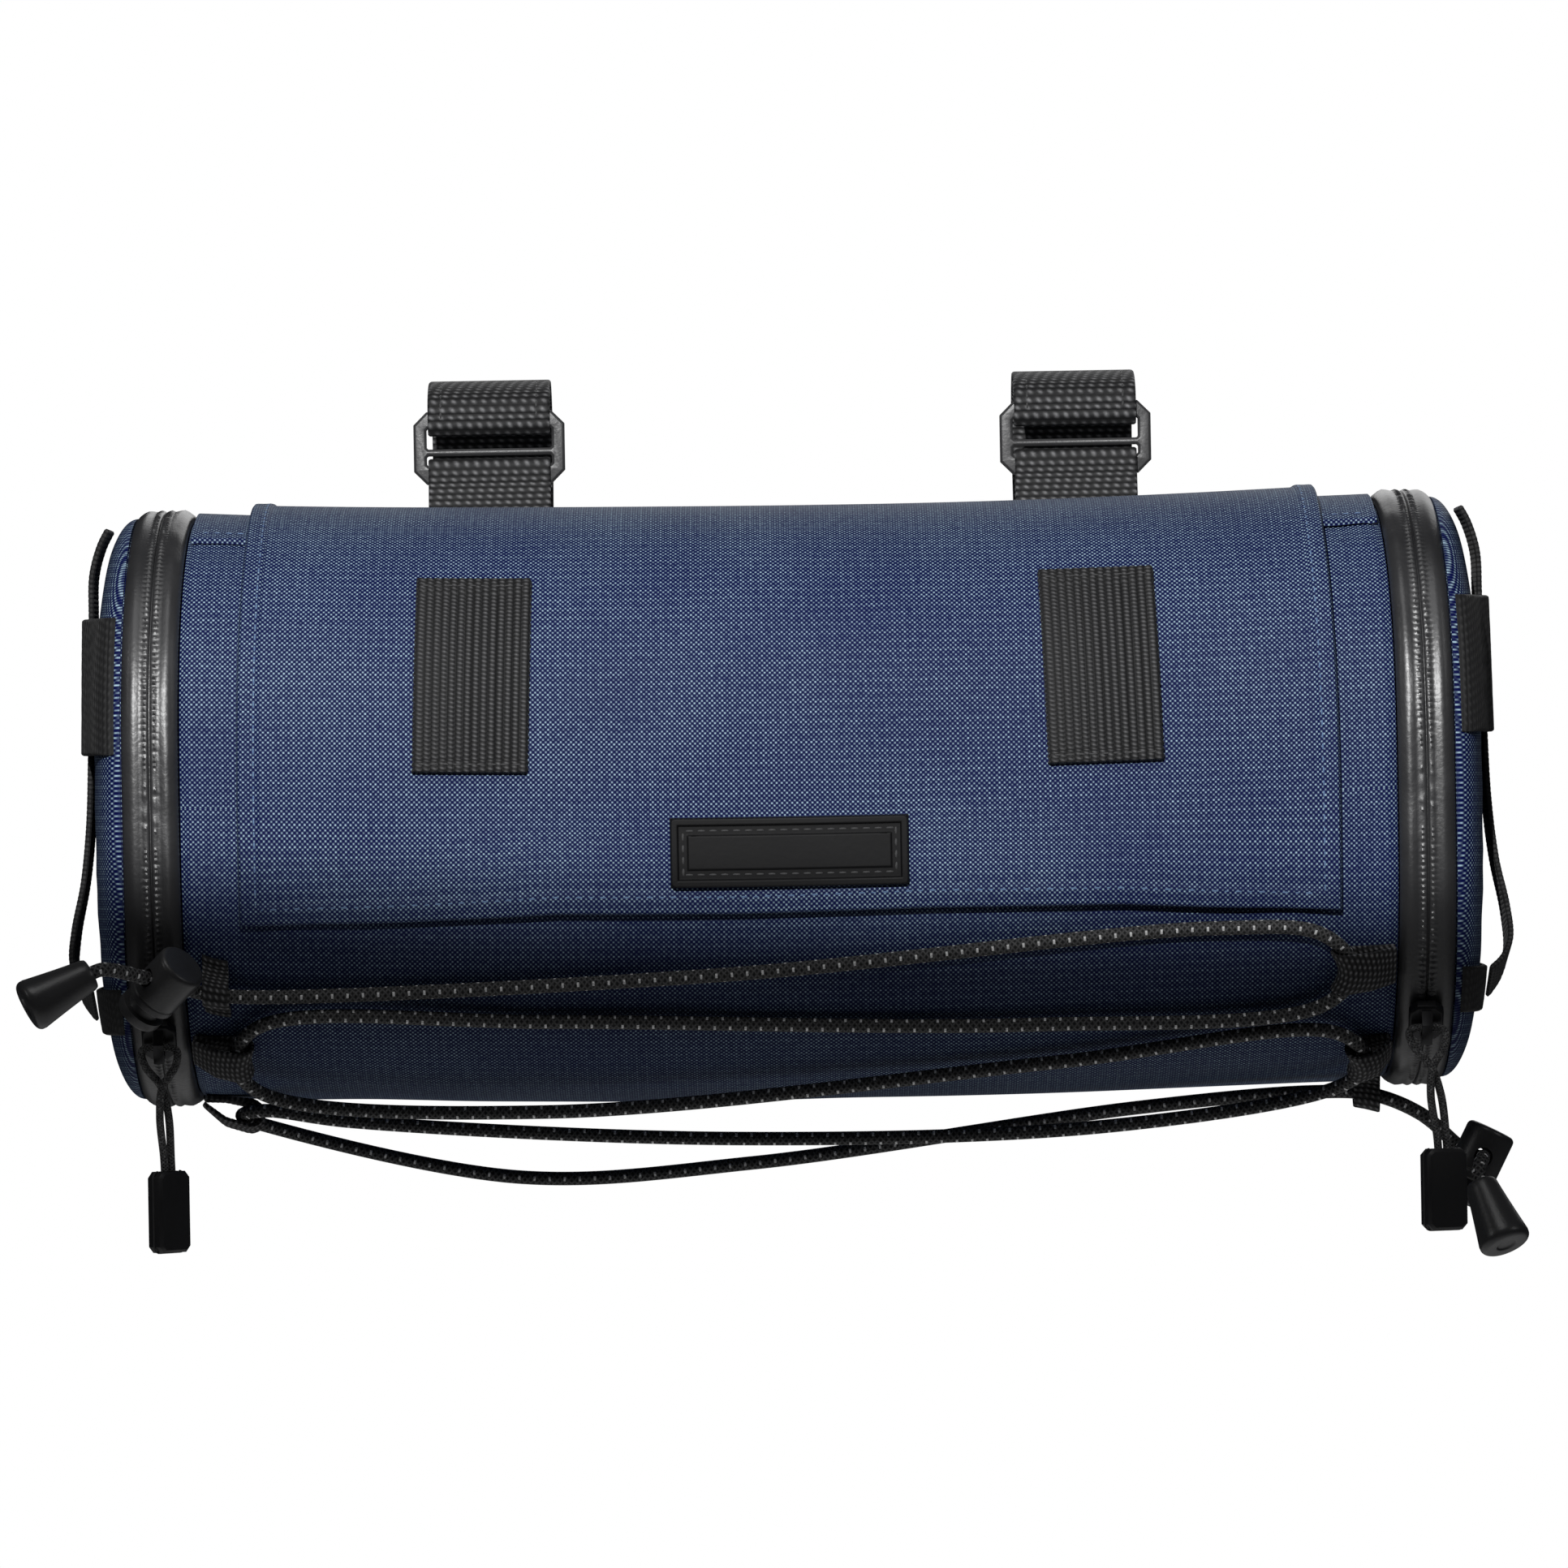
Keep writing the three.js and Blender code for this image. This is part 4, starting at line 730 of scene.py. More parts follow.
ZIP_ROWS = 1020
COIL_PITCH, COIL_HEIGHT, COIL_SHARE = 1.45, 0.42, 0.045
SLIT_SHARE, SLIT_DEPTH = 0.012, 1.0
CREASE_HEIGHT, CREASE_AT, CREASE_SHARE = 0.42, 0.17, 0.1
# The zip band's section, as shares of its width, and its height over the barrel
ZIP_COLUMNS = [0, 0.02, 0.06, 0.12, 0.18, 0.24, 0.3, 0.34, 0.38, 0.41, 0.44, 0.465, 0.485, 0.495,
               0.505, 0.515, 0.535, 0.56, 0.59, 0.62, 0.66, 0.7, 0.76, 0.82, 0.88, 0.94, 0.98, 1]
ZIP_SECTION = [(0, -0.5), (0.02, 0.3), (0.06, 0.9), (0.12, 1.5), (0.18, 1.85), (0.26, 1.85),
               (0.34, 1.6), (0.5, 1.7), (0.66, 1.6), (0.74, 1.85), (0.82, 1.85), (0.88, 1.5),
               (0.94, 0.9), (0.98, 0.3), (1, -0.5)]


def make_zip_rings():
    angle = np.arange(ZIP_ROWS) * TURN / ZIP_ROWS
    for name, side in SIDES.items():
        base = skin(side * (BARREL_HALF + ZIP_WIDTH / 2), angle)
        run = run_of(np.concatenate([base, base[:1]]))
        run, girth = run[:-1], run[-1]
        phase = run / girth * round(girth / COIL_PITCH) * TURN
        crease = np.sin(run / 7.3 + 2 * np.sin(run / 23)) * 0.5
        crease += np.sin(run / 3.1 + np.sin(run / 11) * 3) * 0.3
        crease *= CREASE_HEIGHT * (0.4 + 0.6 * np.sin(angle + 0.4) ** 2)

        def column(share, lift):
            return skin(side * (BARREL_HALF + GAP + share * ZIP_WIDTH), angle, lift)

        columns = []
        for share in ZIP_COLUMNS:
            lift = np.interp(share, *np.array(ZIP_SECTION).T)
            lift = lift - SLIT_DEPTH * math.exp(-(((share - 0.5) / SLIT_SHARE) ** 2))
            for row, offset in ((0.41, 0), (0.59, math.pi)):
                teeth = np.clip(np.sin(phase + offset), 0, 1) ** 0.7
                lift = lift + COIL_HEIGHT * math.exp(-(((share - row) / COIL_SHARE) ** 2)) * teeth
            lift = lift + math.exp(-(((share - CREASE_AT) / CREASE_SHARE) ** 2)) * crease
            columns.append(column(share, lift))
        columns += [column(1, -CLOTH), column(0, -CLOTH)]
        piece = sleeve(f"zip_band_{name}", np.stack(columns, axis=1), "zip", "zip_tape", closed=True)
        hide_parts(f"zip_ring_{name}")


def dome(side, radial, angle, inset=0.0):
    """A point on an end panel: share of the way from its middle to its rim, and the angle."""
    flat = BARREL_HALF + ZIP_WIDTH + 2 * GAP
    rim = skin(side * flat, angle, -inset)
    bulge = END_BULGE * np.sqrt(np.maximum(0, 1 - radial**END_ROUNDNESS))
    return np.stack([side * flat + (rim[..., 0] - side * flat) * radial**2 + side * (bulge - inset),
                     BAG_Y + (rim[..., 1] - BAG_Y) * radial,
                     BAG_Z + (rim[..., 2] - BAG_Z) * radial], axis=-1)


def on_end(side, y, z):
    """How far out the end panel is at a depth and a height."""
    deep, high = (y - BAG_Y) / HALF_DEPTH, (z - BAG_Z) / HALF_HEIGHT
    radial = min(1.0, (abs(deep) ** SQUARENESS + abs(high) ** SQUARENESS) ** (1 / SQUARENESS))
    power = SQUARENESS / 2
    angle = math.atan2(math.copysign(abs(high) ** power, high), -math.copysign(abs(deep) ** power, deep))
    return side * float(dome(side, np.array(radial), np.array(angle))[0])


END_ROWS, END_COLUMNS = 180, 40


def make_end_panels():
    radials = np.sin(np.linspace(0.0, 1, END_COLUMNS) * math.pi / 2)
    radials[0] = 0.004
    angle, radial = np.meshgrid(np.arange(END_ROWS) * TURN / END_ROWS, radials, indexing="ij")
    pull = radial**3 * (1 - radial) * 6
    folds = 0.32 * pull * np.sin(angle * 11 + 2 * np.sin(angle * 3))
    folds += 0.25 * np.sin(radial * 9 + 3 * angle) * (1 - radial)
    for name, side in SIDES.items():
        outer, inner = dome(side, radial, angle), dome(side, radial, angle, CLOTH)
        inner[:, -1, 0] = outer[:, -1, 0]
        outer[..., 0] -= side * np.abs(folds) * 0.8
        piece = slab(f"end_cloth_{name}", outer, inner, "ripstop", "ripstop", wrap=True)
        # The weave runs straight over the panel, not round its middle
        mesh = piece.data
        places = np.zeros(len(mesh.vertices) * 3, np.float32)
        mesh.vertices.foreach_get("co", places)
        index = np.zeros(len(mesh.loops), np.int32)
        mesh.loops.foreach_get("vertex_index", index)
        flat = places.reshape(-1, 3)[index][:, 1:] / MM - np.array([BAG_Y, BAG_Z])
        mesh.uv_layers["UVMap"].data.foreach_set("uv", flat.astype(np.float32).ravel())
        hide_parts(f"end_panel_{name}")


def edge_rise(distance, radius):
    """How far a rounded edge has risen at a distance in from it, from 0 to 1."""
    share = np.clip(distance / radius, 0, 1)
    return np.sqrt(1 - (1 - share) ** 2)


def soft_step(value, low, high):
    t = np.clip((value - low) / (high - low), 0, 1)
    return t * t * (3 - 2 * t)


def packed(length, edge, fine, coarse):
    """Distances along a length, close together within an edge of both ends."""
    near = np.arange(0, edge, fine)
    middle = np.linspace(edge, length - edge, max(2, int((length - 2 * edge) / coarse)))
    return np.concatenate([near, middle, length - near[::-1]])


def make_facing():
    low, high = angle_at(FACING_FRONT_Z), angle_at(FACING_BACK_Z, True)
    girth = (high - low) * GIRTH_RADIUS
    a, c = np.meshgrid(packed(girth, 8, 0.4, 1.6), packed(2 * FACING_HALF, 3, 0.5, 2.4), indexing="ij")
    edge = np.minimum(a, girth - a)
    teeth = 0.35 * np.sin(c * TURN / STITCH_PITCH) * np.exp(-((edge / 1.2) ** 2))
    angle = low + (a - teeth * np.where(a < girth / 2, 1, -1)) / girth * (high - low)
    hem = 0.45 * (1 - soft_step(edge, 5.6, 6.4))
    x = c - FACING_HALF
    thick = (FACING_THICK - 0.4 + hem) * edge_rise(edge, 0.9)
    outer = skin(x, angle, GAP + thick + 0.12 * np.sin(x / 9) * soft_step(edge, 0, 6))
    piece = slab("top_facing_cloth", outer, skin(x, angle, GAP), "ripstop", "ripstop")
    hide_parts("top_facing")
    xs = np.linspace(-FACING_HALF + 2, FACING_HALF - 2, 200)
    inset = 4.6 / girth * (high - low)
    lines = [sewn(lambda lift: skin(xs, at, lift), GAP + FACING_THICK)
             for at in (low + inset, high - inset)]
    stitches("top_facing_stitching", lines, "blue_thread", slot="ripstop")


# The flap's loose folds: height, middle, lean, width, middle up the flap, length up it
FLAP_FOLDS = [
    (0.42, -38, 0.35, 13, 70, 34),
    (0.38, 52, -0.28, 11, 62, 30),
    (0.3, -104, -0.1, 9, 40, 26),
    (-0.3, 8, 0, 24, 36, 12),
]
FLAP_LOOSE = 1.5


def flap_waves(x, up):
    """The flap's loose shape over the barrel, as a height in millimetres; up runs from its foot."""
    wave = 0.5 * np.sin(x / 31 + 0.9 + up / 70) * np.exp(-(((up - 96) / 34) ** 2))
    wave += 0.204 * np.sin(x / 12 + up / 25) * np.exp(-(((up - 14) / 9) ** 2))
    for high, middle, lean, wide, at, tall in FLAP_FOLDS:
        wave += high * np.exp(-(((x - middle - up * lean) / wide) ** 2) - ((up - at) / tall) ** 2)
    return wave * FLAP_LOOSE


def edge_drop(x, half):
    share = np.clip(x / half, -1, 1)
    along, drop = np.array(FLAP_EDGE).T
    return np.interp(share, along, drop) * FLAP_HEM


def flap_grid():
    """Distances up the flap from its foot, the angle at each, and its whole length."""
    angles = np.linspace(angle_at(FLAP_FOOT_Z), angle_at(FLAP_BACK_Z, True), 1200)
    run = run_of(skin(0, angles))
    ups = packed(run[-1], 7, 0.4, 1.5)
    return ups, np.interp(ups, run, angles), run[-1]


def make_flap():
    ups, angles, length = flap_grid()

    def half_at(angle):
        return np.interp(angle, [0, angle_at(FLAP_TOP_Z)], [FLAP_HALF_FOOT, FLAP_HALF_TOP])

    def lowered(x, up, half):
        """The angle at a distance up the flap, with the drop of its foot's edge."""
        drop = edge_drop(x, half) * (1 - soft_step(up, 3, 30))
        return np.interp(up, ups, angles) - drop / GIRTH_RADIUS

    across = packed(2 * FLAP_HALF_FOOT, 7.2, 0.4, 1.9) / (2 * FLAP_HALF_FOOT)
    up, share = np.meshgrid(ups, across, indexing="ij")
    half = half_at(angles)[:, None] * np.ones_like(share)
    x = (2 * share - 1) * half
    angle = lowered(x, up, half)
    to_hem = np.minimum((0.5 - np.abs(share - 0.5)) * 2 * half, up)
    hem = HEM_RISE * (1 - soft_step(to_hem, FLAP_HEM - 0.3, FLAP_HEM + 0.5))
    sewn_in = FLAP_HEM - 0.9
    pucker = 0.1 * np.sin((x + up) * TURN / (2 * STITCH_PITCH)) * np.exp(-(((to_hem - sewn_in) / 1.1) ** 2))
    waves = flap_waves(x, up)
    inner = FLAP_LIFT + np.maximum(waves, -0.15) * 0.6
    thick = (FLAP_THICK + hem + pucker) * edge_rise(np.minimum(to_hem, length - up), 1.0)
    piece = slab("front_flap_cloth", skin(x, angle, inner + thick + waves * 0.4), skin(x, angle, inner),
                 "ripstop", "ripstop")
    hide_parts("front_flap")

    def line(xs, up_at, at_half):
        w = flap_waves(xs, up_at)
        lift = FLAP_LIFT + np.maximum(w, -0.15) * 0.6 + FLAP_THICK + HEM_RISE + w * 0.4
        return sewn(lambda more: skin(xs, lowered(xs, up_at, at_half), lift + more), 0)

    up_at = np.arange(sewn_in, length - 2, 2.0)
    at_half = half_at(np.interp(up_at, ups, angles))
    lines = [line(side * (at_half - sewn_in), up_at, at_half) for side in (-1, 1)]
    xs = np.arange(-FLAP_HALF_FOOT + sewn_in, FLAP_HALF_FOOT - sewn_in, 2.0)
    lines.append(line(xs, np.full_like(xs, sewn_in), np.full_like(xs, FLAP_HALF_FOOT)))
    stitches("front_flap_stitching", lines, "blue_thread", slot="ripstop", sink=0.16)


def on_flap(x, z, lift):
    """Points over the flap's outer face."""
    return skin(x, angle_at(z), FLAP_LIFT + FLAP_THICK + GAP + lift)


PATCH_RIB, PATCH_LEAN, PATCH_DOUBLED = 2.04, 1.4, 0.84


def make_patches():
    tall = PATCH_TOP_Z - PATCH_FOOT_Z
    z = PATCH_FOOT_Z + packed(tall, 5, 0.35, 0.6)
    height, across = np.meshgrid(z, packed(PATCH_WIDTH, 1.2, 0.2, 0.24), indexing="ij")
    to_side = np.minimum(across, PATCH_WIDTH - across)
    end = np.minimum(height - PATCH_FOOT_Z, PATCH_TOP_Z - height)
    doubled = 1 - soft_step(end, PATCH_FOLD - 0.2, PATCH_FOLD + 0.5)
    rib = np.abs(np.sin(across * math.pi / PATCH_RIB)) ** 0.7
    fray = 0.18 * np.sin(height * 4.1) * (to_side < 0.5)
    slack = 0.5 * np.sin(np.clip(end / 24, 0, 1) * math.pi / 2) ** 2
    lift = (PATCH_THICK + PATCH_DOUBLED * doubled) * edge_rise(np.minimum(to_side, end), 0.55)
    lift += 0.3 * rib - 0.3 + slack
    for name, side in SIDES.items():

        def leaning(across, height):
            lean = ((height - PATCH_FOOT_Z) / tall - 0.5) * PATCH_LEAN
            return side * (PATCH_X - lean) + across

        x = leaning(across - PATCH_WIDTH / 2 + fray, height)
        piece = slab(f"flap_patch_webbing_{name}", on_flap(x, height, lift),
                     on_flap(x, height, slack * 0.9), "patch", "webbing")
        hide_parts(f"flap_patch_{name}")
        xs = np.linspace(-0.5, 0.5, 30) * (PATCH_WIDTH - 2)
        lines = [sewn(lambda lift: on_flap(leaning(xs, at), at, lift), PATCH_THICK + PATCH_DOUBLED)
                 for at in (PATCH_FOOT_Z + 2.1, PATCH_TOP_Z - 2.1)]
        stitches(f"flap_patch_stitching_{name}", lines, thick=0.45)


LABEL_CORNER, LABEL_BASE, LABEL_RIM, LABEL_FIELD = 1.2, 1.3, 0.8, 0.5


def make_label():
    """The bare plate: a raised rim, a sewn groove inside it and a raised field."""
    tall = LABEL_TOP_Z - LABEL_FOOT_Z
    height, across = np.meshgrid(packed(tall, 5.4, 0.18, 0.9), packed(LABEL_WIDTH, 5.4, 0.18, 2.0),
                                 indexing="ij")
    dx, dz = np.minimum(across, LABEL_WIDTH - across), np.minimum(height, tall - height)
    inside = np.hypot(np.maximum(0, LABEL_CORNER - dx), np.maximum(0, LABEL_CORNER - dz))
    edge = np.minimum(dx, dz)
    edge = np.where(inside > 0, np.minimum(edge, LABEL_CORNER - inside), edge)
    lift = LABEL_BASE + LABEL_RIM * (1 - soft_step(edge, 1.7, 2.2))
    lift += LABEL_FIELD * soft_step(edge, 4.1, 4.6)
    lift = np.maximum(0.02, lift * edge_rise(np.maximum(edge, 0), 0.5))
    x, z = across - LABEL_WIDTH / 2, LABEL_FOOT_Z + height
    piece = slab("label_plate_rubber", on_flap(x, z, lift), on_flap(x, z, 0), "rubber", "label")
    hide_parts("label_plate")
    half, inset = LABEL_WIDTH / 2 - 3.2, 3.2
    corners = [(-half, inset), (half, inset), (half, tall - inset), (-half, tall - inset)]
    lines = []
    for (x0, z0), (x1, z1) in zip(corners, corners[1:] + corners[:1]):
        xs, zs = np.linspace(x0, x1, 40), LABEL_FOOT_Z + np.linspace(z0, z1, 40)
        lines.append(sewn(lambda lift: on_flap(xs, zs, lift), 1.35))
    stitches("label_stitching", lines, long=2.1, slot="label")


# The elastic cord
bungee_path = centripetal(BUNGEE_ROUTE, 0.9)


def make_bungee():
    piece = sleeve("bungee_braid", tube_grid(bungee_path, BUNGEE / 2, 14), "bungee", "elastic")
    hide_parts("bungee_cord")
    return piece


def held_point(index, off):
    """The cord's point at a distance along it from a point of its route."""
    target = np.array(BUNGEE_ROUTE[index])
    nearest = int(np.argmin(np.linalg.norm(bungee_path - target, axis=1)))
    run = run_of(bungee_path)
    return points_at(run[nearest] + off, run, bungee_path)


def settle(point):
    """Where a point lies on the barrel: angle and lift."""
    angles = np.linspace(-math.pi, math.pi, 7201)
    foot = skin(np.full_like(angles, point[0]), angles)
    far = np.hypot(foot[:, 1] - point[1], foot[:, 2] - point[2])
    k = int(np.argmin(far))
    return angles[k], far[k]


def loop_path(centre, lift, turns_back):
    """A loop's middle line: how far round or in from the barrel's end, and its lift."""
    low = GAP + LOOP_WEB / 2
    radius = (BUNGEE + LOOP_WEB) / 2 + LOOP_EYE

    def around(angles):
        return [(radius * math.cos(t), lift + radius * math.sin(t)) for t in np.radians(angles)]

    if turns_back:
        reach = BARREL_HALF - abs(centre[0])
        line = [(0.8, low), (reach * 0.5, low)]
        line += [(reach + a, b) for a, b in around(range(-90, 91, 10))]
        line += [(reach * 0.5, lift + radius * 0.5), (0.8, low + LOOP_WEB + GAP)]
    else:
        half = [(-2.7 * radius, low), (-1.9 * radius, low + 0.05 * (lift - low)),
                (-1.3 * radius, low + 0.45 * (lift - low)), *around(range(165, 90, -12))]
        line = half + [(0, lift + radius)] + [(-a, b) for a, b in half[::-1]]
    path = even(np.array([(a, b, 0) for a, b in line], float), 0.4)
    return smoothed(even(path, length_of(path) / 75)[:, :2])


LOOP_COLUMNS, LOOP_RIB = 15, 1.3


def make_loops():
    for name, (index, width, turns_back) in LOOPS.items():
        columns = []
        for off in np.linspace(-0.5, 0.5, LOOP_COLUMNS) * width:
            centre = held_point(index, off)
            angle, lift = settle(centre)
            columns.append((loop_path(centre, lift, turns_back), angle, centre[0]))
        count = min(len(path) for path, _, _ in columns)
        grids = []
        for face in (0.5, -0.5):
            grid = np.zeros((count, LOOP_COLUMNS, 3))
            for j, (path, angle, x) in enumerate(columns):
                path = path[:count]
                way = unit(np.gradient(path, axis=0))
                run = np.arange(count) * np.linalg.norm(np.diff(path, axis=0), axis=1).mean()
                from_edge = min(j, LOOP_COLUMNS - 1 - j) * width / (LOOP_COLUMNS - 1)
                rib = 0.12 * np.abs(np.sin(run * math.pi / LOOP_RIB))
                shift = face * (LOOP_WEB * edge_rise(from_edge + 0.12, 0.7) * 0.8 + 2 * rib)
                a = path[:, 0] + way[:, 1] * shift
                b = path[:, 1] - way[:, 0] * shift
                if turns_back:
                    grid[:, j] = skin(math.copysign(1, x) * (BARREL_HALF - a), angle, b)
                else:
                    grid[:, j] = skin(x, angle + a / (71.6 + b), b)
            grids.append(grid)
        piece = slab(f"loop_webbing_{name}", *grids, "loop", "webbing")
        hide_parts(f"bungee_loop_{name}")


def lathe(name, profile, paint, at, z_way, x_way=(1, 0, 0), sides=56, body="root", hole=None):
    """A body turned about its own Z from a closed profile of (radius, z), set at a place and a way."""
    z = Vector(z_way).normalized()
    y = z.cross(Vector(x_way)).normalized()
    turn = Matrix((y.cross(z), y, z)).transposed()
    profile = np.array(profile, float)
    angle = np.arange(sides) * TURN / sides
    grid = np.stack([np.outer(np.cos(angle), profile[:, 0]), np.outer(np.sin(angle), profile[:, 0]),
                     np.tile(profile[:, 1], (sides, 1))], axis=-1)
    rows, columns = grid.shape[:2]
    faces = []
    for i in range(rows):
        n = (i + 1) % rows
        for j in range(columns - 1):
            quad = [i * columns + j, n * columns + j, n * columns + j + 1, i * columns + j + 1]
            if profile[j, 0] < 1e-6:
                quad = [quad[0], quad[2], quad[3]]
            elif profile[j + 1, 0] < 1e-6:
                quad = quad[:3]
            faces.append(quad)
    piece = bare_piece(name, grid.reshape(-1, 3), faces)
    clean_up(piece)
    if hole:
        drill(piece, hole)
    piece.data.transform(Matrix.Translation(Vector(at) * MM) @ turn.to_4x4())
    return finish_hard(piece, paint, body)


def clean_up(piece):
    """Welds doubled points and turns the faces out."""
    work = bmesh.new()
    work.from_mesh(piece.data)
    bmesh.ops.remove_doubles(work, verts=work.verts, dist=1e-6)
    bmesh.ops.recalc_face_normals(work, faces=work.faces)
    work.to_mesh(piece.data)
    work.free()


def apply_modifiers(piece):
    graph = bpy.context.evaluated_depsgraph_get()
    mesh = bpy.data.meshes.new_from_object(piece.evaluated_get(graph))
    piece.modifiers.clear()
    old, piece.data = piece.data, mesh
    bpy.data.meshes.remove(old)


def drill(piece, cutter):
    """Takes a cutter's shape out of a piece."""
    cut = piece.modifiers.new("cut", "BOOLEAN")
    cut.operation, cut.object, cut.solver = "DIFFERENCE", cutter, "EXACT"
    bpy.context.view_layer.update()
    apply_modifiers(piece)
    bpy.data.objects.remove(cutter)


def finish_hard(piece, paint, body="root", bevel=0.25):
    """Rounds a hard piece's edges and dresses it."""
    rounded = piece.modifiers.new("rounded", "BEVEL")
    rounded.width, rounded.segments = bevel * MM, 3
    rounded.limit_method, rounded.angle_limit = "ANGLE", math.radians(35)
    bpy.context.view_layer.update()
    apply_modifiers(piece)
    if not piece.data.uv_layers:
        piece.data.uv_layers.new(name="UVMap")
    return dress(piece, paint, body, 45)


def block(name, low, high):
    """A plain box to cut with."""
    x, y, z = zip(low, high)
    faces = [(0, 1, 3, 2), (4, 6, 7, 5), (0, 4, 5, 1), (2, 3, 7, 6), (0, 2, 6, 4), (1, 5, 7, 3)]
    return bare_piece(name, [(a, b, c) for a in x for b in y for c in z], faces)


ROD_SIDES = 32


def rod(name, radius, half):
    """A plain rod along X to cut with."""
    turn = np.arange(ROD_SIDES) * TURN / ROD_SIDES
    grid = [(end, radius * math.cos(t), radius * math.sin(t)) for end in (-half, half) for t in turn]
    caps = [list(range(ROD_SIDES)), list(range(2 * ROD_SIDES - 1, ROD_SIDES - 1, -1))]
    piece = bare_piece(name, grid, tube_faces(2, ROD_SIDES, False)[0].tolist() + caps)
    clean_up(piece)
    return piece


def round_edge(radius, z, bend, start=0.0):
    """The profile of a rounded outer edge, from its side to its top."""
    return [(radius - bend + bend * math.cos(t), z - bend + bend * math.sin(t))
            for t in np.linspace(start, math.pi / 2, 7)]


def cup_profile(bore, ceiling):
    """A lock's cup: hollow from below, with a groove round its foot."""
    groove = LOCK_RADIUS - 0.18
    return [(0, ceiling), (bore, ceiling), (bore, LOCK_RIM_Z), (LOCK_RADIUS - 0.35, LOCK_RIM_Z),
            (LOCK_RADIUS, LOCK_RIM_Z + 0.35), (LOCK_RADIUS, -4.6), (groove, -4.4), (groove, -4.1),
            (LOCK_RADIUS, -3.9), *round_edge(LOCK_RADIUS, LOCK_CAP_Z, 1.4), (0, LOCK_CAP_Z)]


def pin_profile(shaft, head):
    """A lock's plunger: a shaft in the cup and a button below it."""
    top = LOCK_RIM_Z - PLUNGER_TRAVEL - GAP
    foot, wide = top - PLUNGER_FLANGE, LOCK_RADIUS - 0.3
    return [(0, head), (shaft, head), (shaft, top), (wide, top), (wide, foot + 0.9),
            (wide - 0.3, foot + 0.3), (wide - 0.9, foot), (2.4, foot), (2.0, foot + 0.35), (0, foot + 0.35)]


def bell_profile():
    """A cord end: a flared bell with a bore for the cord."""
    hollow = BUNGEE / 2 + GAP + 0.15
    flare = [(BELL_MOUTH + (BELL_WIDE - BELL_MOUTH) * t**1.15, (BELL_LENGTH - 2.2) * t)
             for t in np.linspace(0.06, 1, 12)]
    return [(0, BELL_BORE), (hollow, BELL_BORE), (hollow, 0), (BELL_MOUTH - 0.3, 0), *flare,
            *round_edge(BELL_WIDE, BELL_LENGTH, 1.6, 0.2),
            (2.6, BELL_LENGTH), (2.2, BELL_LENGTH - 0.5), (0, BELL_LENGTH - 0.5)]


def make_locks():
    bore, ceiling = LOCK_RADIUS - LOCK_WALL, LOCK_CAP_Z - LOCK_WALL
    head = ceiling - PLUNGER_TRAVEL - GAP
    slot_foot = -BUNGEE / 2 - PLUNGER_PLAY - PLUNGER_TRAVEL
    ends = []
    for name, (lock, axis, way, mouth, bell) in CORD_ENDS.items():
        cup = lathe(f"lock_cup_{name}", cup_profile(bore, ceiling), "plastic", lock, axis, way,
                    hole=rod("hole", LOCK_HOLE, 12))
        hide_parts(f"cord_lock_barrel_{name}")
        pin = lathe(f"lock_pin_{name}", pin_profile(bore - PLUNGER_PLAY, head), "plastic",
                    lock, axis, way, body=f"lock_plunger_{name}",
                    hole=block("slot", (-12, -LOCK_HOLE, slot_foot), (12, LOCK_HOLE, head - 1)))
        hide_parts(f"cord_lock_plunger_{name}")
        end = lathe(f"cord_bell_{name}", bell_profile(), "plastic", mouth, bell)
        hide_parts(f"cord_end_{name}")
        ends += [cup, pin, end]
    return ends


def seat_of(name):
    """A zip slider's seat on its band, and the way out of the band."""
    side = SIDES[name]
    slit = side * (BARREL_HALF + GAP + ZIP_WIDTH / 2)
    angle = float(angle_at(PULLS[name][0]))
    seat = skin(slit, angle, ZIP_RISE + GAP)
    return seat, unit(skin(slit, angle, ZIP_RISE + GAP + 1) - seat)


def rounded_copy(node, name, paint, bevel):
    """A CAD solid with its edges rounded."""
    piece = link(name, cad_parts[node].data.copy())
    piece.matrix_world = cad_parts[node].matrix_world.copy()
    clean_up(piece)
    dissolve = piece.modifiers.new("flat", "DECIMATE")
    dissolve.decimate_type, dissolve.angle_limit = "DISSOLVE", math.radians(2)
    bpy.context.view_layer.update()
    apply_modifiers(piece)
    finish_hard(piece, paint, bevel=bevel)
    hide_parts(node)


def make_pulls():
    for name in SIDES:
        seat, out = seat_of(name)
        rounded_copy(f"zip_slider_{name}", f"slider_metal_{name}", "metal", 0.35)
        eye = seat + out * (SLIDER_THICK + (BRIDGE_HEIGHT - BRIDGE_WIRE) / 2)
        top = np.array(PULLS[name][1], float)
        swing = math.radians(TAB_TURN[name])
        rows = []
        for up, across, deep, turn in PULL_ROWS:
            point = top + (eye - top) * max(0, up)
            point[2] = top[2] + (eye[2] - top[2]) * up
            point[0] += across * math.cos(swing * turn) + deep * math.sin(swing * turn)
            point[1] += across * math.sin(swing * turn) - deep * math.cos(swing * turn)
            rows.append(point)
        path = centripetal(rows, 0.5)
        piece = sleeve(f"pull_braid_{name}", tube_grid(path, PULL_CORD / 2, 12), "pull", "elastic")
        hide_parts(f"zip_pull_cord_{name}")
        rounded_copy(f"zip_pull_tab_{name}", f"pull_tab_{name}", "tab", 0.45)
        seam_of_tab(name, top, swing)


TAB_CORNER = 1.6


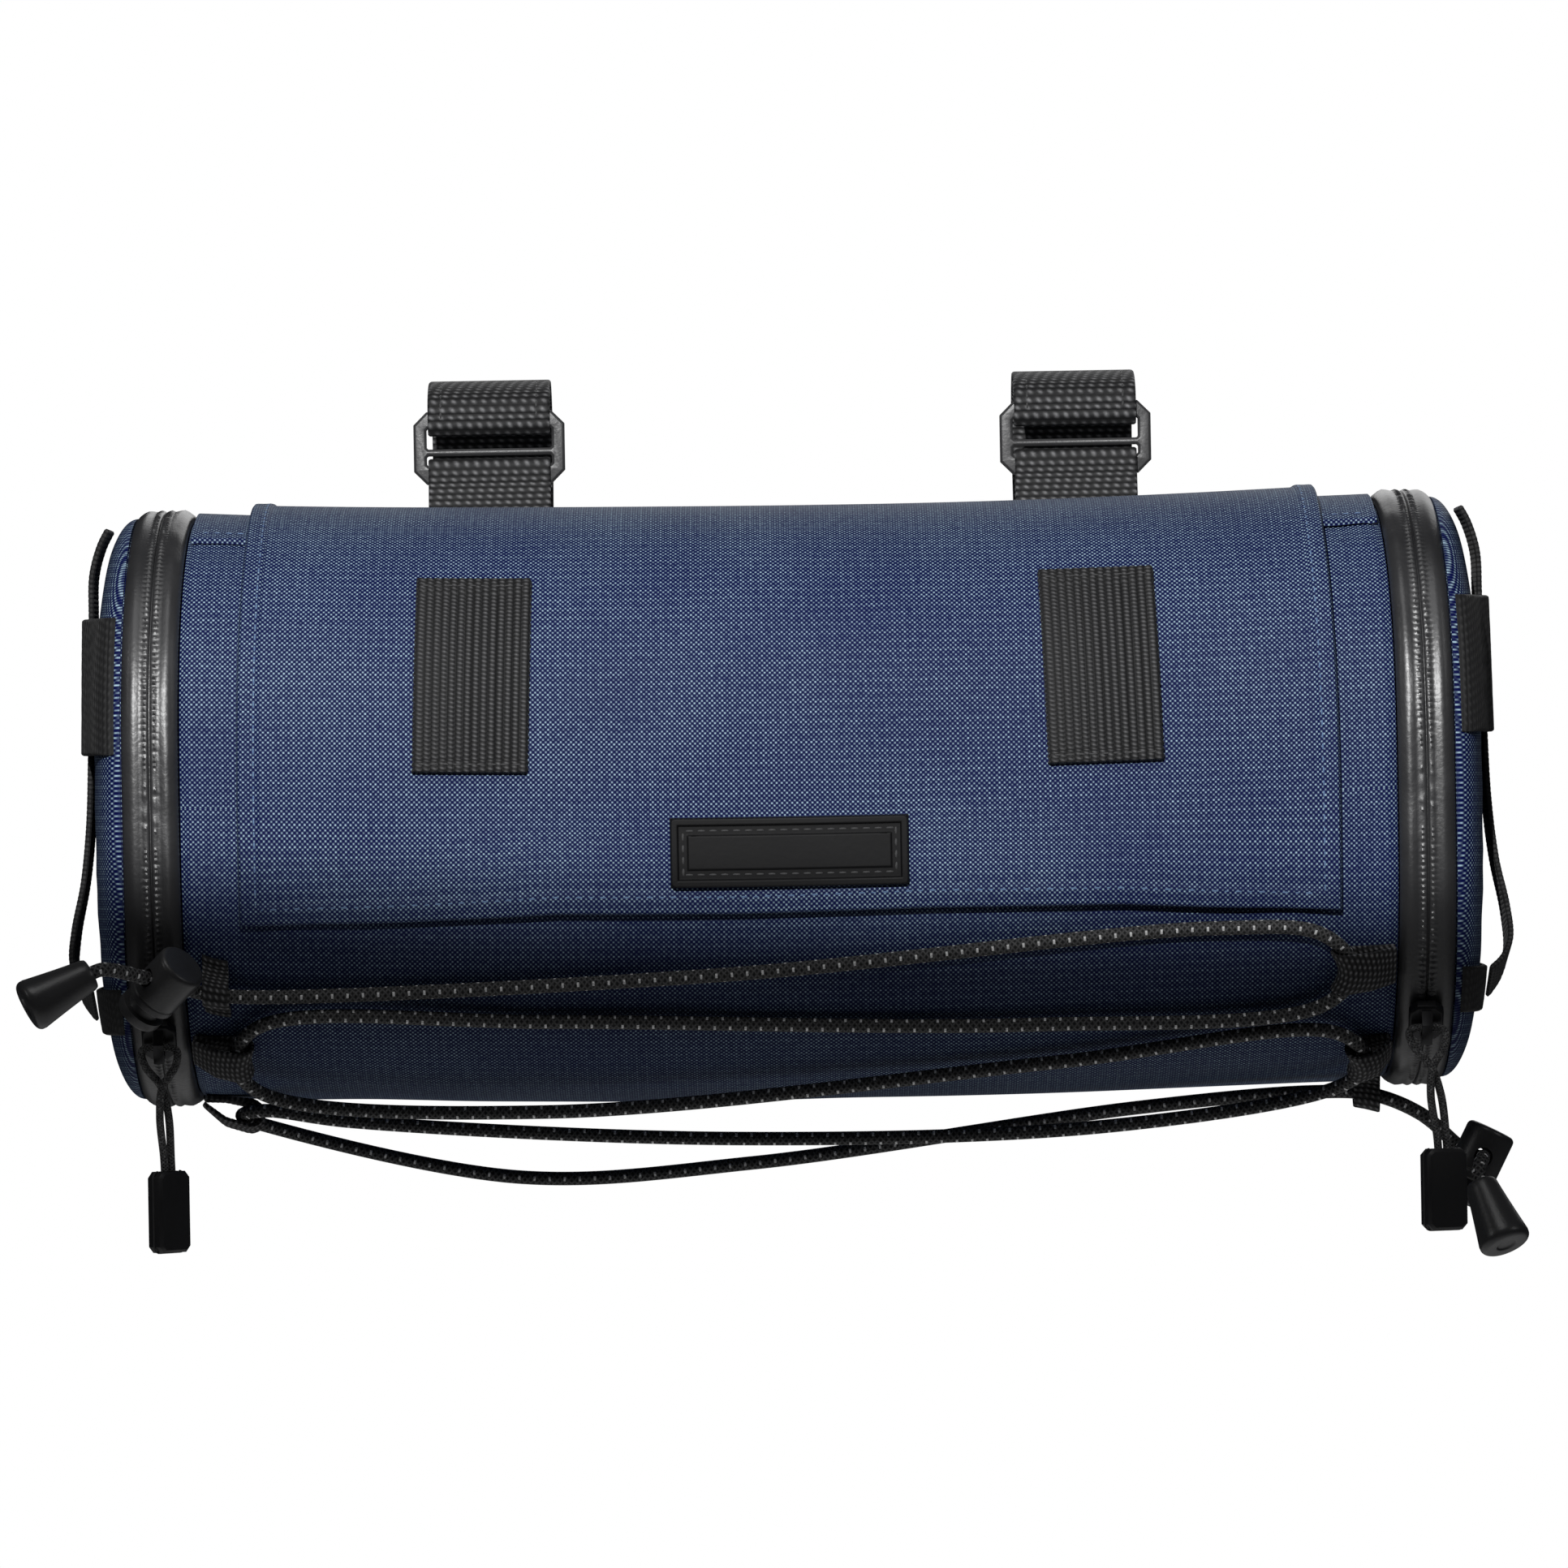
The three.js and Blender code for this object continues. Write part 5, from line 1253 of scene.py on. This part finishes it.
def seam_of_tab(name, top, swing):
    """The thin line between the tab's two layers, as a raised bead round its edge."""
    w, h = TAB_WIDTH / 2 + 0.02, TAB_HEIGHT / 2 + 0.02
    loop = np.array([
        (right * (w - TAB_CORNER) + TAB_CORNER * math.cos(t), 0,
         up * (h - TAB_CORNER) + TAB_CORNER * math.sin(t))
        for right, up, start in ((1, 1, 0), (-1, 1, 90), (-1, -1, 180), (1, -1, 270))
        for t in np.radians(start + np.arange(0, 91, 15))])
    # The mouth of the pocket stays open
    loop = loop[~((loop[:, 2] > h - 0.2) & (np.abs(loop[:, 0]) < 3.4))]
    place = np.stack([loop[:, 0] * math.cos(swing), loop[:, 0] * math.sin(swing), loop[:, 2]], axis=1)
    place += top - np.array([0, 0, TAB_HEIGHT / 2])
    path = even(np.roll(place, -7, axis=0), 0.6)
    sleeve(f"pull_tab_seam_{name}", tube_grid(path, 0.22, 8), "black_thread", "tab")


# Webbing
def webbing(name, path, ways, width, thick, paint="webbing", rib=1.75, relief=0.14):
    """A strap along a path, its width along one direction or one for each point of the path."""
    path = np.asarray(path, float)
    ways = np.broadcast_to(np.asarray(ways, float), path.shape)
    run = run_of(path)
    line = even(path, 0.44)
    at = np.linspace(0, run[-1], len(line))
    wide = points_at(at, run, ways)
    line = smoothed(line)
    off = unit(np.cross(np.gradient(line, axis=0), wide))
    across = packed(width, 1.2, 0.3, 1.3) - width / 2
    edge = edge_rise(width / 2 - np.abs(across) + 0.1, 0.8)
    ribs = np.abs(np.sin(at * math.pi / rib))
    ends = edge_rise(np.minimum(at, at[-1] - at) + 0.15, 0.8)
    half = (thick / 2 - relief) * edge[None, :] * ends[:, None] + relief * ribs[:, None] * edge[None, :]
    middle = line[:, None] + unit(wide)[:, None] * across[None, :, None]
    off = off[:, None] * half[..., None]
    return slab(name, middle + off, middle - off, paint, "webbing")


def arc(x, y, z, deep, high, start, end, steps=24):
    turn = np.radians(np.linspace(start, end, steps))
    return np.stack([np.full(steps, float(x)), y + deep * np.cos(turn), z + high * np.sin(turn)], axis=1)


def on_back(x, z, lift):
    """Points over the barrel's back, each at its own x."""
    points = skin(x, angle_at(z, True), lift)
    points[..., 0] = x
    return points


def back_points(x, top, foot, lift):
    return on_back(x, np.linspace(foot, top, 24), lift)


def make_bar_straps():
    fold = BUCKLE_THICK / 2 + FOLD_PLAY + STRAP_WEB / 2
    behind, before = -(BUCKLE_Y + fold), -(BUCKLE_Y - fold)
    top_fold, foot_fold = TOP_BAR_FOOT + BUCKLE_THICK / 2, FOOT_BAR_TOP - BUCKLE_THICK / 2
    for name, side in SIDES.items():
        x = side * STRAP_X
        path = np.concatenate([
            back_points(x, *STRAP_SEWN, BACK_LIFT),
            arc(x, 0, 0, STRAP_INNER, STRAP_INNER, STRAP_LEAVES, 90, 40),
            arc(x, 0, top_fold, behind, STRAP_INNER - top_fold, 105, 180),
            arc(x, BUCKLE_Y, top_fold, fold, fold, -30, -180),
            arc(x, 0, BUCKLE_TOP, before, STRAP_OUTER - BUCKLE_TOP, 180, 105, 30),
            arc(x, 0, 0, STRAP_OUTER, STRAP_OUTER, 90, TAIL_END, 30),
        ])
        piece = webbing(f"bar_strap_webbing_{name}", path, (1, 0, 0), STRAP_WIDTH, STRAP_WEB)
        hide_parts(f"handlebar_strap_{name}")

        first, last = (on_back(x, ANCHOR_SEWN[0], BACK_LIFT + more) for more in (0, STRAP_WEB + GAP))
        base_low, base_high = (back_points(x, ANCHOR_SEWN[0] - 1, ANCHOR_SEWN[1], BACK_LIFT + more)
                               for more in (0, STRAP_WEB + GAP))
        anchor = np.concatenate([
            base_low, first[None], [[x, BUCKLE_Y - fold, BUCKLE_FOOT]],
            arc(x, BUCKLE_Y, foot_fold, fold, fold, 180, 0),
            [[x, BUCKLE_Y + fold, BUCKLE_FOOT]], last[None], base_high[::-1],
        ])
        piece = webbing(f"anchor_webbing_{name}", anchor, (1, 0, 0), STRAP_WIDTH, STRAP_WEB)
        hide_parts(f"strap_anchor_{name}", f"strap_anchor_base_{name}")
        rounded_copy(f"strap_buckle_{name}", f"buckle_{name}", "plastic", 0.55)

        lines = []
        for edge in (-1, 1):
            at = x + edge * (STRAP_WIDTH / 2 - 3.4)
            over = arc(at, 0, BUCKLE_TOP, before + STRAP_WEB / 2, STRAP_OUTER - BUCKLE_TOP + STRAP_WEB / 2,
                       180, 108, 30)
            low = [(at, BUCKLE_Y - fold - STRAP_WEB / 2, z) for z in np.linspace(7.5, 9.8, 4)]
            rows = np.concatenate([low, over])
            lines.append((rows, rows - np.array([at, 0, BUCKLE_TOP])))
        across = np.linspace(-0.5, 0.5, 16) * (STRAP_WIDTH - 6)
        for (top, foot), lift in ((STRAP_SEWN, BACK_LIFT + STRAP_WEB / 2),
                                  (ANCHOR_SEWN, BACK_LIFT + STRAP_WEB * 1.5 + GAP)):
            for edge in (-1, 1):
                at = x + edge * (STRAP_WIDTH / 2 - 3)
                lines.append(sewn(lambda lift: back_points(at, top - 2, foot + 2, lift), lift))
            for at in (top - 2.5, foot + 2.5):
                lines.append(sewn(lambda lift: on_back(x + across, at, lift), lift))
        stitches(f"bar_strap_stitching_{name}", lines)


def bridged(side, y, z, span, tall):
    """The outermost of the end panel within a short way of a point."""
    return max(on_end(side, y + dy, z + dz) for dy in (-span, 0, span) for dz in (-tall, 0, tall))


SIDE_RIB = 1.2


def make_side_webbing():
    half = SIDE_STRAP_WIDTH / 2
    shares, offs, twist = np.array(SIDE_STRAP_ROWS, float).T
    heights, twist = BAG_Z + shares * HALF_HEIGHT, np.radians(twist)
    for name, side in SIDES.items():
        outs = [bridged(side, SIDE_STRAP_Y, z, half, STRAP_BRIDGE) for z in heights]
        outs = np.array(outs) + GAP + SIDE_WEB / 2 + offs * SIDE_STANDOFF
        path = np.stack([side * outs, np.full(len(outs), SIDE_STRAP_Y), heights], 1)
        ways = np.stack([np.zeros(len(outs)), np.cos(twist), -np.sin(twist)], 1)
        run = run_of(path)
        smooth_path = centripetal(path, 1.0)
        smooth_ways = points_at(np.linspace(0, run[-1], len(smooth_path)), run, ways)
        piece = webbing(f"side_strap_webbing_{name}", smooth_path, smooth_ways, SIDE_STRAP_WIDTH, SIDE_WEB,
                        "side", rib=SIDE_RIB, relief=0.1)
        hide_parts(f"side_strap_{name}")

        reach = BAND_REACH * HALF_DEPTH
        knots = [SIDE_STRAP_Y + off for off in (-half - 7, -half - 1.5, half + 1.5, half + 7)]
        knots += [BAG_Y + share * reach for share in (0, 0.35, 0.6, 0.8, 1)]

        def outs_on_band(z):
            """How far out the band lies at its knots: over the end panel, and over the strap."""
            band = [bridged(side, y, z, BAND_BRIDGE, BAND_BRIDGE) for y in knots]
            strap = float(np.interp(z, heights[::-1], outs[::-1])) + SIDE_WEB / 2
            band[1:3] = [max(out, strap) for out in band[1:3]]
            return band

        piece = end_band(f"side_band_webbing_{name}", side, BAND_FOOT_Z, BAND_TOP_Z, 1.7, knots,
                         outs_on_band)
        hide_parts(f"side_band_{name}")

        ends = [SIDE_STRAP_Y - half, SIDE_STRAP_Y, SIDE_STRAP_Y + half + 4]
        piece = end_band(f"side_foot_webbing_{name}", side, FOOT_BAND_FOOT_Z, FOOT_BAND_TOP_Z, 1.4, ends,
                         lambda z: [on_end(side, y, z) + BAND_EDGE_GAP - GAP for y in ends])
        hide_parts(f"side_foot_band_{name}")


def deep_at(z, radial):
    """Depth, from the section's middle, of a line round the end panel at a height."""
    high = abs(z - BAG_Z) / HALF_HEIGHT
    return HALF_DEPTH * max(0.0, radial**SQUARENESS - high**SQUARENESS) ** (1 / SQUARENESS)


BAND_RADIALS = np.linspace(0.998, 0.88, 14)  # where a band turns in over the panel's front rim
BAND_COLUMNS = 150


def end_band(name, side, foot, top, coarse, knots, outs_at):
    """Webbing across an end panel from its front edge: depths of its knots, and how far out they are
    at a height."""
    zs = foot + packed(top - foot, 1.2, 0.3, coarse)
    at = np.linspace(0, 1, BAND_COLUMNS)
    rows = []
    for z in zs:
        fronts = np.array([BAG_Y - deep_at(z, radial) for radial in BAND_RADIALS])
        outs = [on_end(side, y, z) + BAND_EDGE_GAP - GAP for y in fronts] + outs_at(z)
        ys = np.concatenate([fronts, knots])
        run = (ys - ys[0]) / (ys[-1] - ys[0])
        rows.append(np.stack([np.interp(at, run, outs), np.interp(at, run, ys),
                              np.full(BAND_COLUMNS, z)], 1))
    grid = np.array(rows).transpose(1, 0, 2)
    grid[13:, :, 0] = smoothed(grid[13:, :, 0])
    out, y, z = np.moveaxis(grid, -1, 0)
    edge = np.minimum(np.minimum(z - zs[0], zs[-1] - z), np.minimum(y - y[0], y[-1] - y))
    ribs = 0.1 * np.abs(np.sin(y * math.pi / SIDE_RIB))
    thick = (BAND_THICK - 0.1) * edge_rise(edge + 0.08, 0.7) + ribs
    inner = np.stack([side * (out + GAP), y, z], -1)
    outer = np.stack([side * (out + GAP + thick), y, z], -1)
    return slab(name, outer, inner, "side", "webbing")


# The stage: a pale floor, and soft lights placed in metres
FLOOR_RADIUS, FLOOR_Z, FLOOR_SIDES = 1400, -900, 64


def make_stage():
    turn = np.arange(FLOOR_SIDES) * TURN / FLOOR_SIDES
    floor = bare_piece("floor", [(FLOOR_RADIUS * math.cos(t), FLOOR_RADIUS * math.sin(t), FLOOR_Z)
                                 for t in turn], [range(FLOOR_SIDES)])
    paint = Paint("floor_paint", 0.9)
    paint.set(paint.shader, "Base Color", (0.82, 0.82, 0.82, 1))
    floor.data.materials.append(paint.material)

    world = bpy.data.worlds.new("studio")
    world.use_nodes = True
    bpy.context.scene.world = world
    nodes, links = world.node_tree.nodes, world.node_tree.links
    ground = nodes["Background"]
    ground.inputs["Color"].default_value = (0.8, 0.85, 0.95, 1)
    ground.inputs["Strength"].default_value = 0.015
    seen = nodes.new("ShaderNodeBackground")
    seen.inputs["Color"].default_value = (1, 1, 1, 1)
    seen.inputs["Strength"].default_value = 1.0
    ray, mix = nodes.new("ShaderNodeLightPath"), nodes.new("ShaderNodeMixShader")
    links.new(ray.outputs["Is Camera Ray"], mix.inputs[0])
    links.new(ground.outputs[0], mix.inputs[1])
    links.new(seen.outputs[0], mix.inputs[2])
    links.new(mix.outputs[0], nodes["World Output"].inputs["Surface"])


def aim(name, lamp, place, target):
    thing = link(name, lamp)
    thing.location = place
    thing.rotation_euler = (Vector(target) - Vector(place)).to_track_quat("-Z", "Y").to_euler()


def light(name, place, target, size, power):
    """A soft rectangular light."""
    lamp = bpy.data.lights.new(name, "AREA")
    lamp.shape = "RECTANGLE"
    lamp.size, lamp.size_y = size
    lamp.energy = power
    aim(name, lamp, place, target)


def beam(name, place, target, reach, blend, power):
    """A spotlight on the upper half of the bag; reach is its circle's radius at its target."""
    lamp = bpy.data.lights.new(name, "SPOT")
    lamp.spot_size = 2 * math.atan(reach / (Vector(target) - Vector(place)).length)
    lamp.spot_blend, lamp.energy, lamp.shadow_soft_size = blend, power, 0.012
    aim(name, lamp, place, target)


make_stage()
light("key", (-0.2, -0.95, 1.45), (0, -0.09, -0.06), (1.0, 0.6), 4.5)
light("left", (-1.15, -0.75, 0.5), (0, -0.1, -0.05), (0.12, 0.45), 1.0)
light("right", (1.15, -0.75, 0.55), (0, -0.1, -0.05), (0.12, 0.45), 1.1)
light("back", (0.3, 1.3, 0.6), (0, 0, -0.1), (1.2, 0.9), 5)
light("floor", (0, 0.1, -0.5), (0, 0.1, -0.9), (1.6, 1.6), 3)
beam("beam", (-0.15, -1.7, 0.5), (0, -0.15, 1.725), 3.452, 0.007, 108)
bpy.context.scene.view_settings.view_transform = "Standard"

bungee = make_bungee()
ends = make_locks()
make_pulls()
make_loops()
make_barrel()
make_zip_rings()
make_end_panels()
make_facing()
make_flap()
make_patches()
make_label()
make_bar_straps()
make_side_webbing()
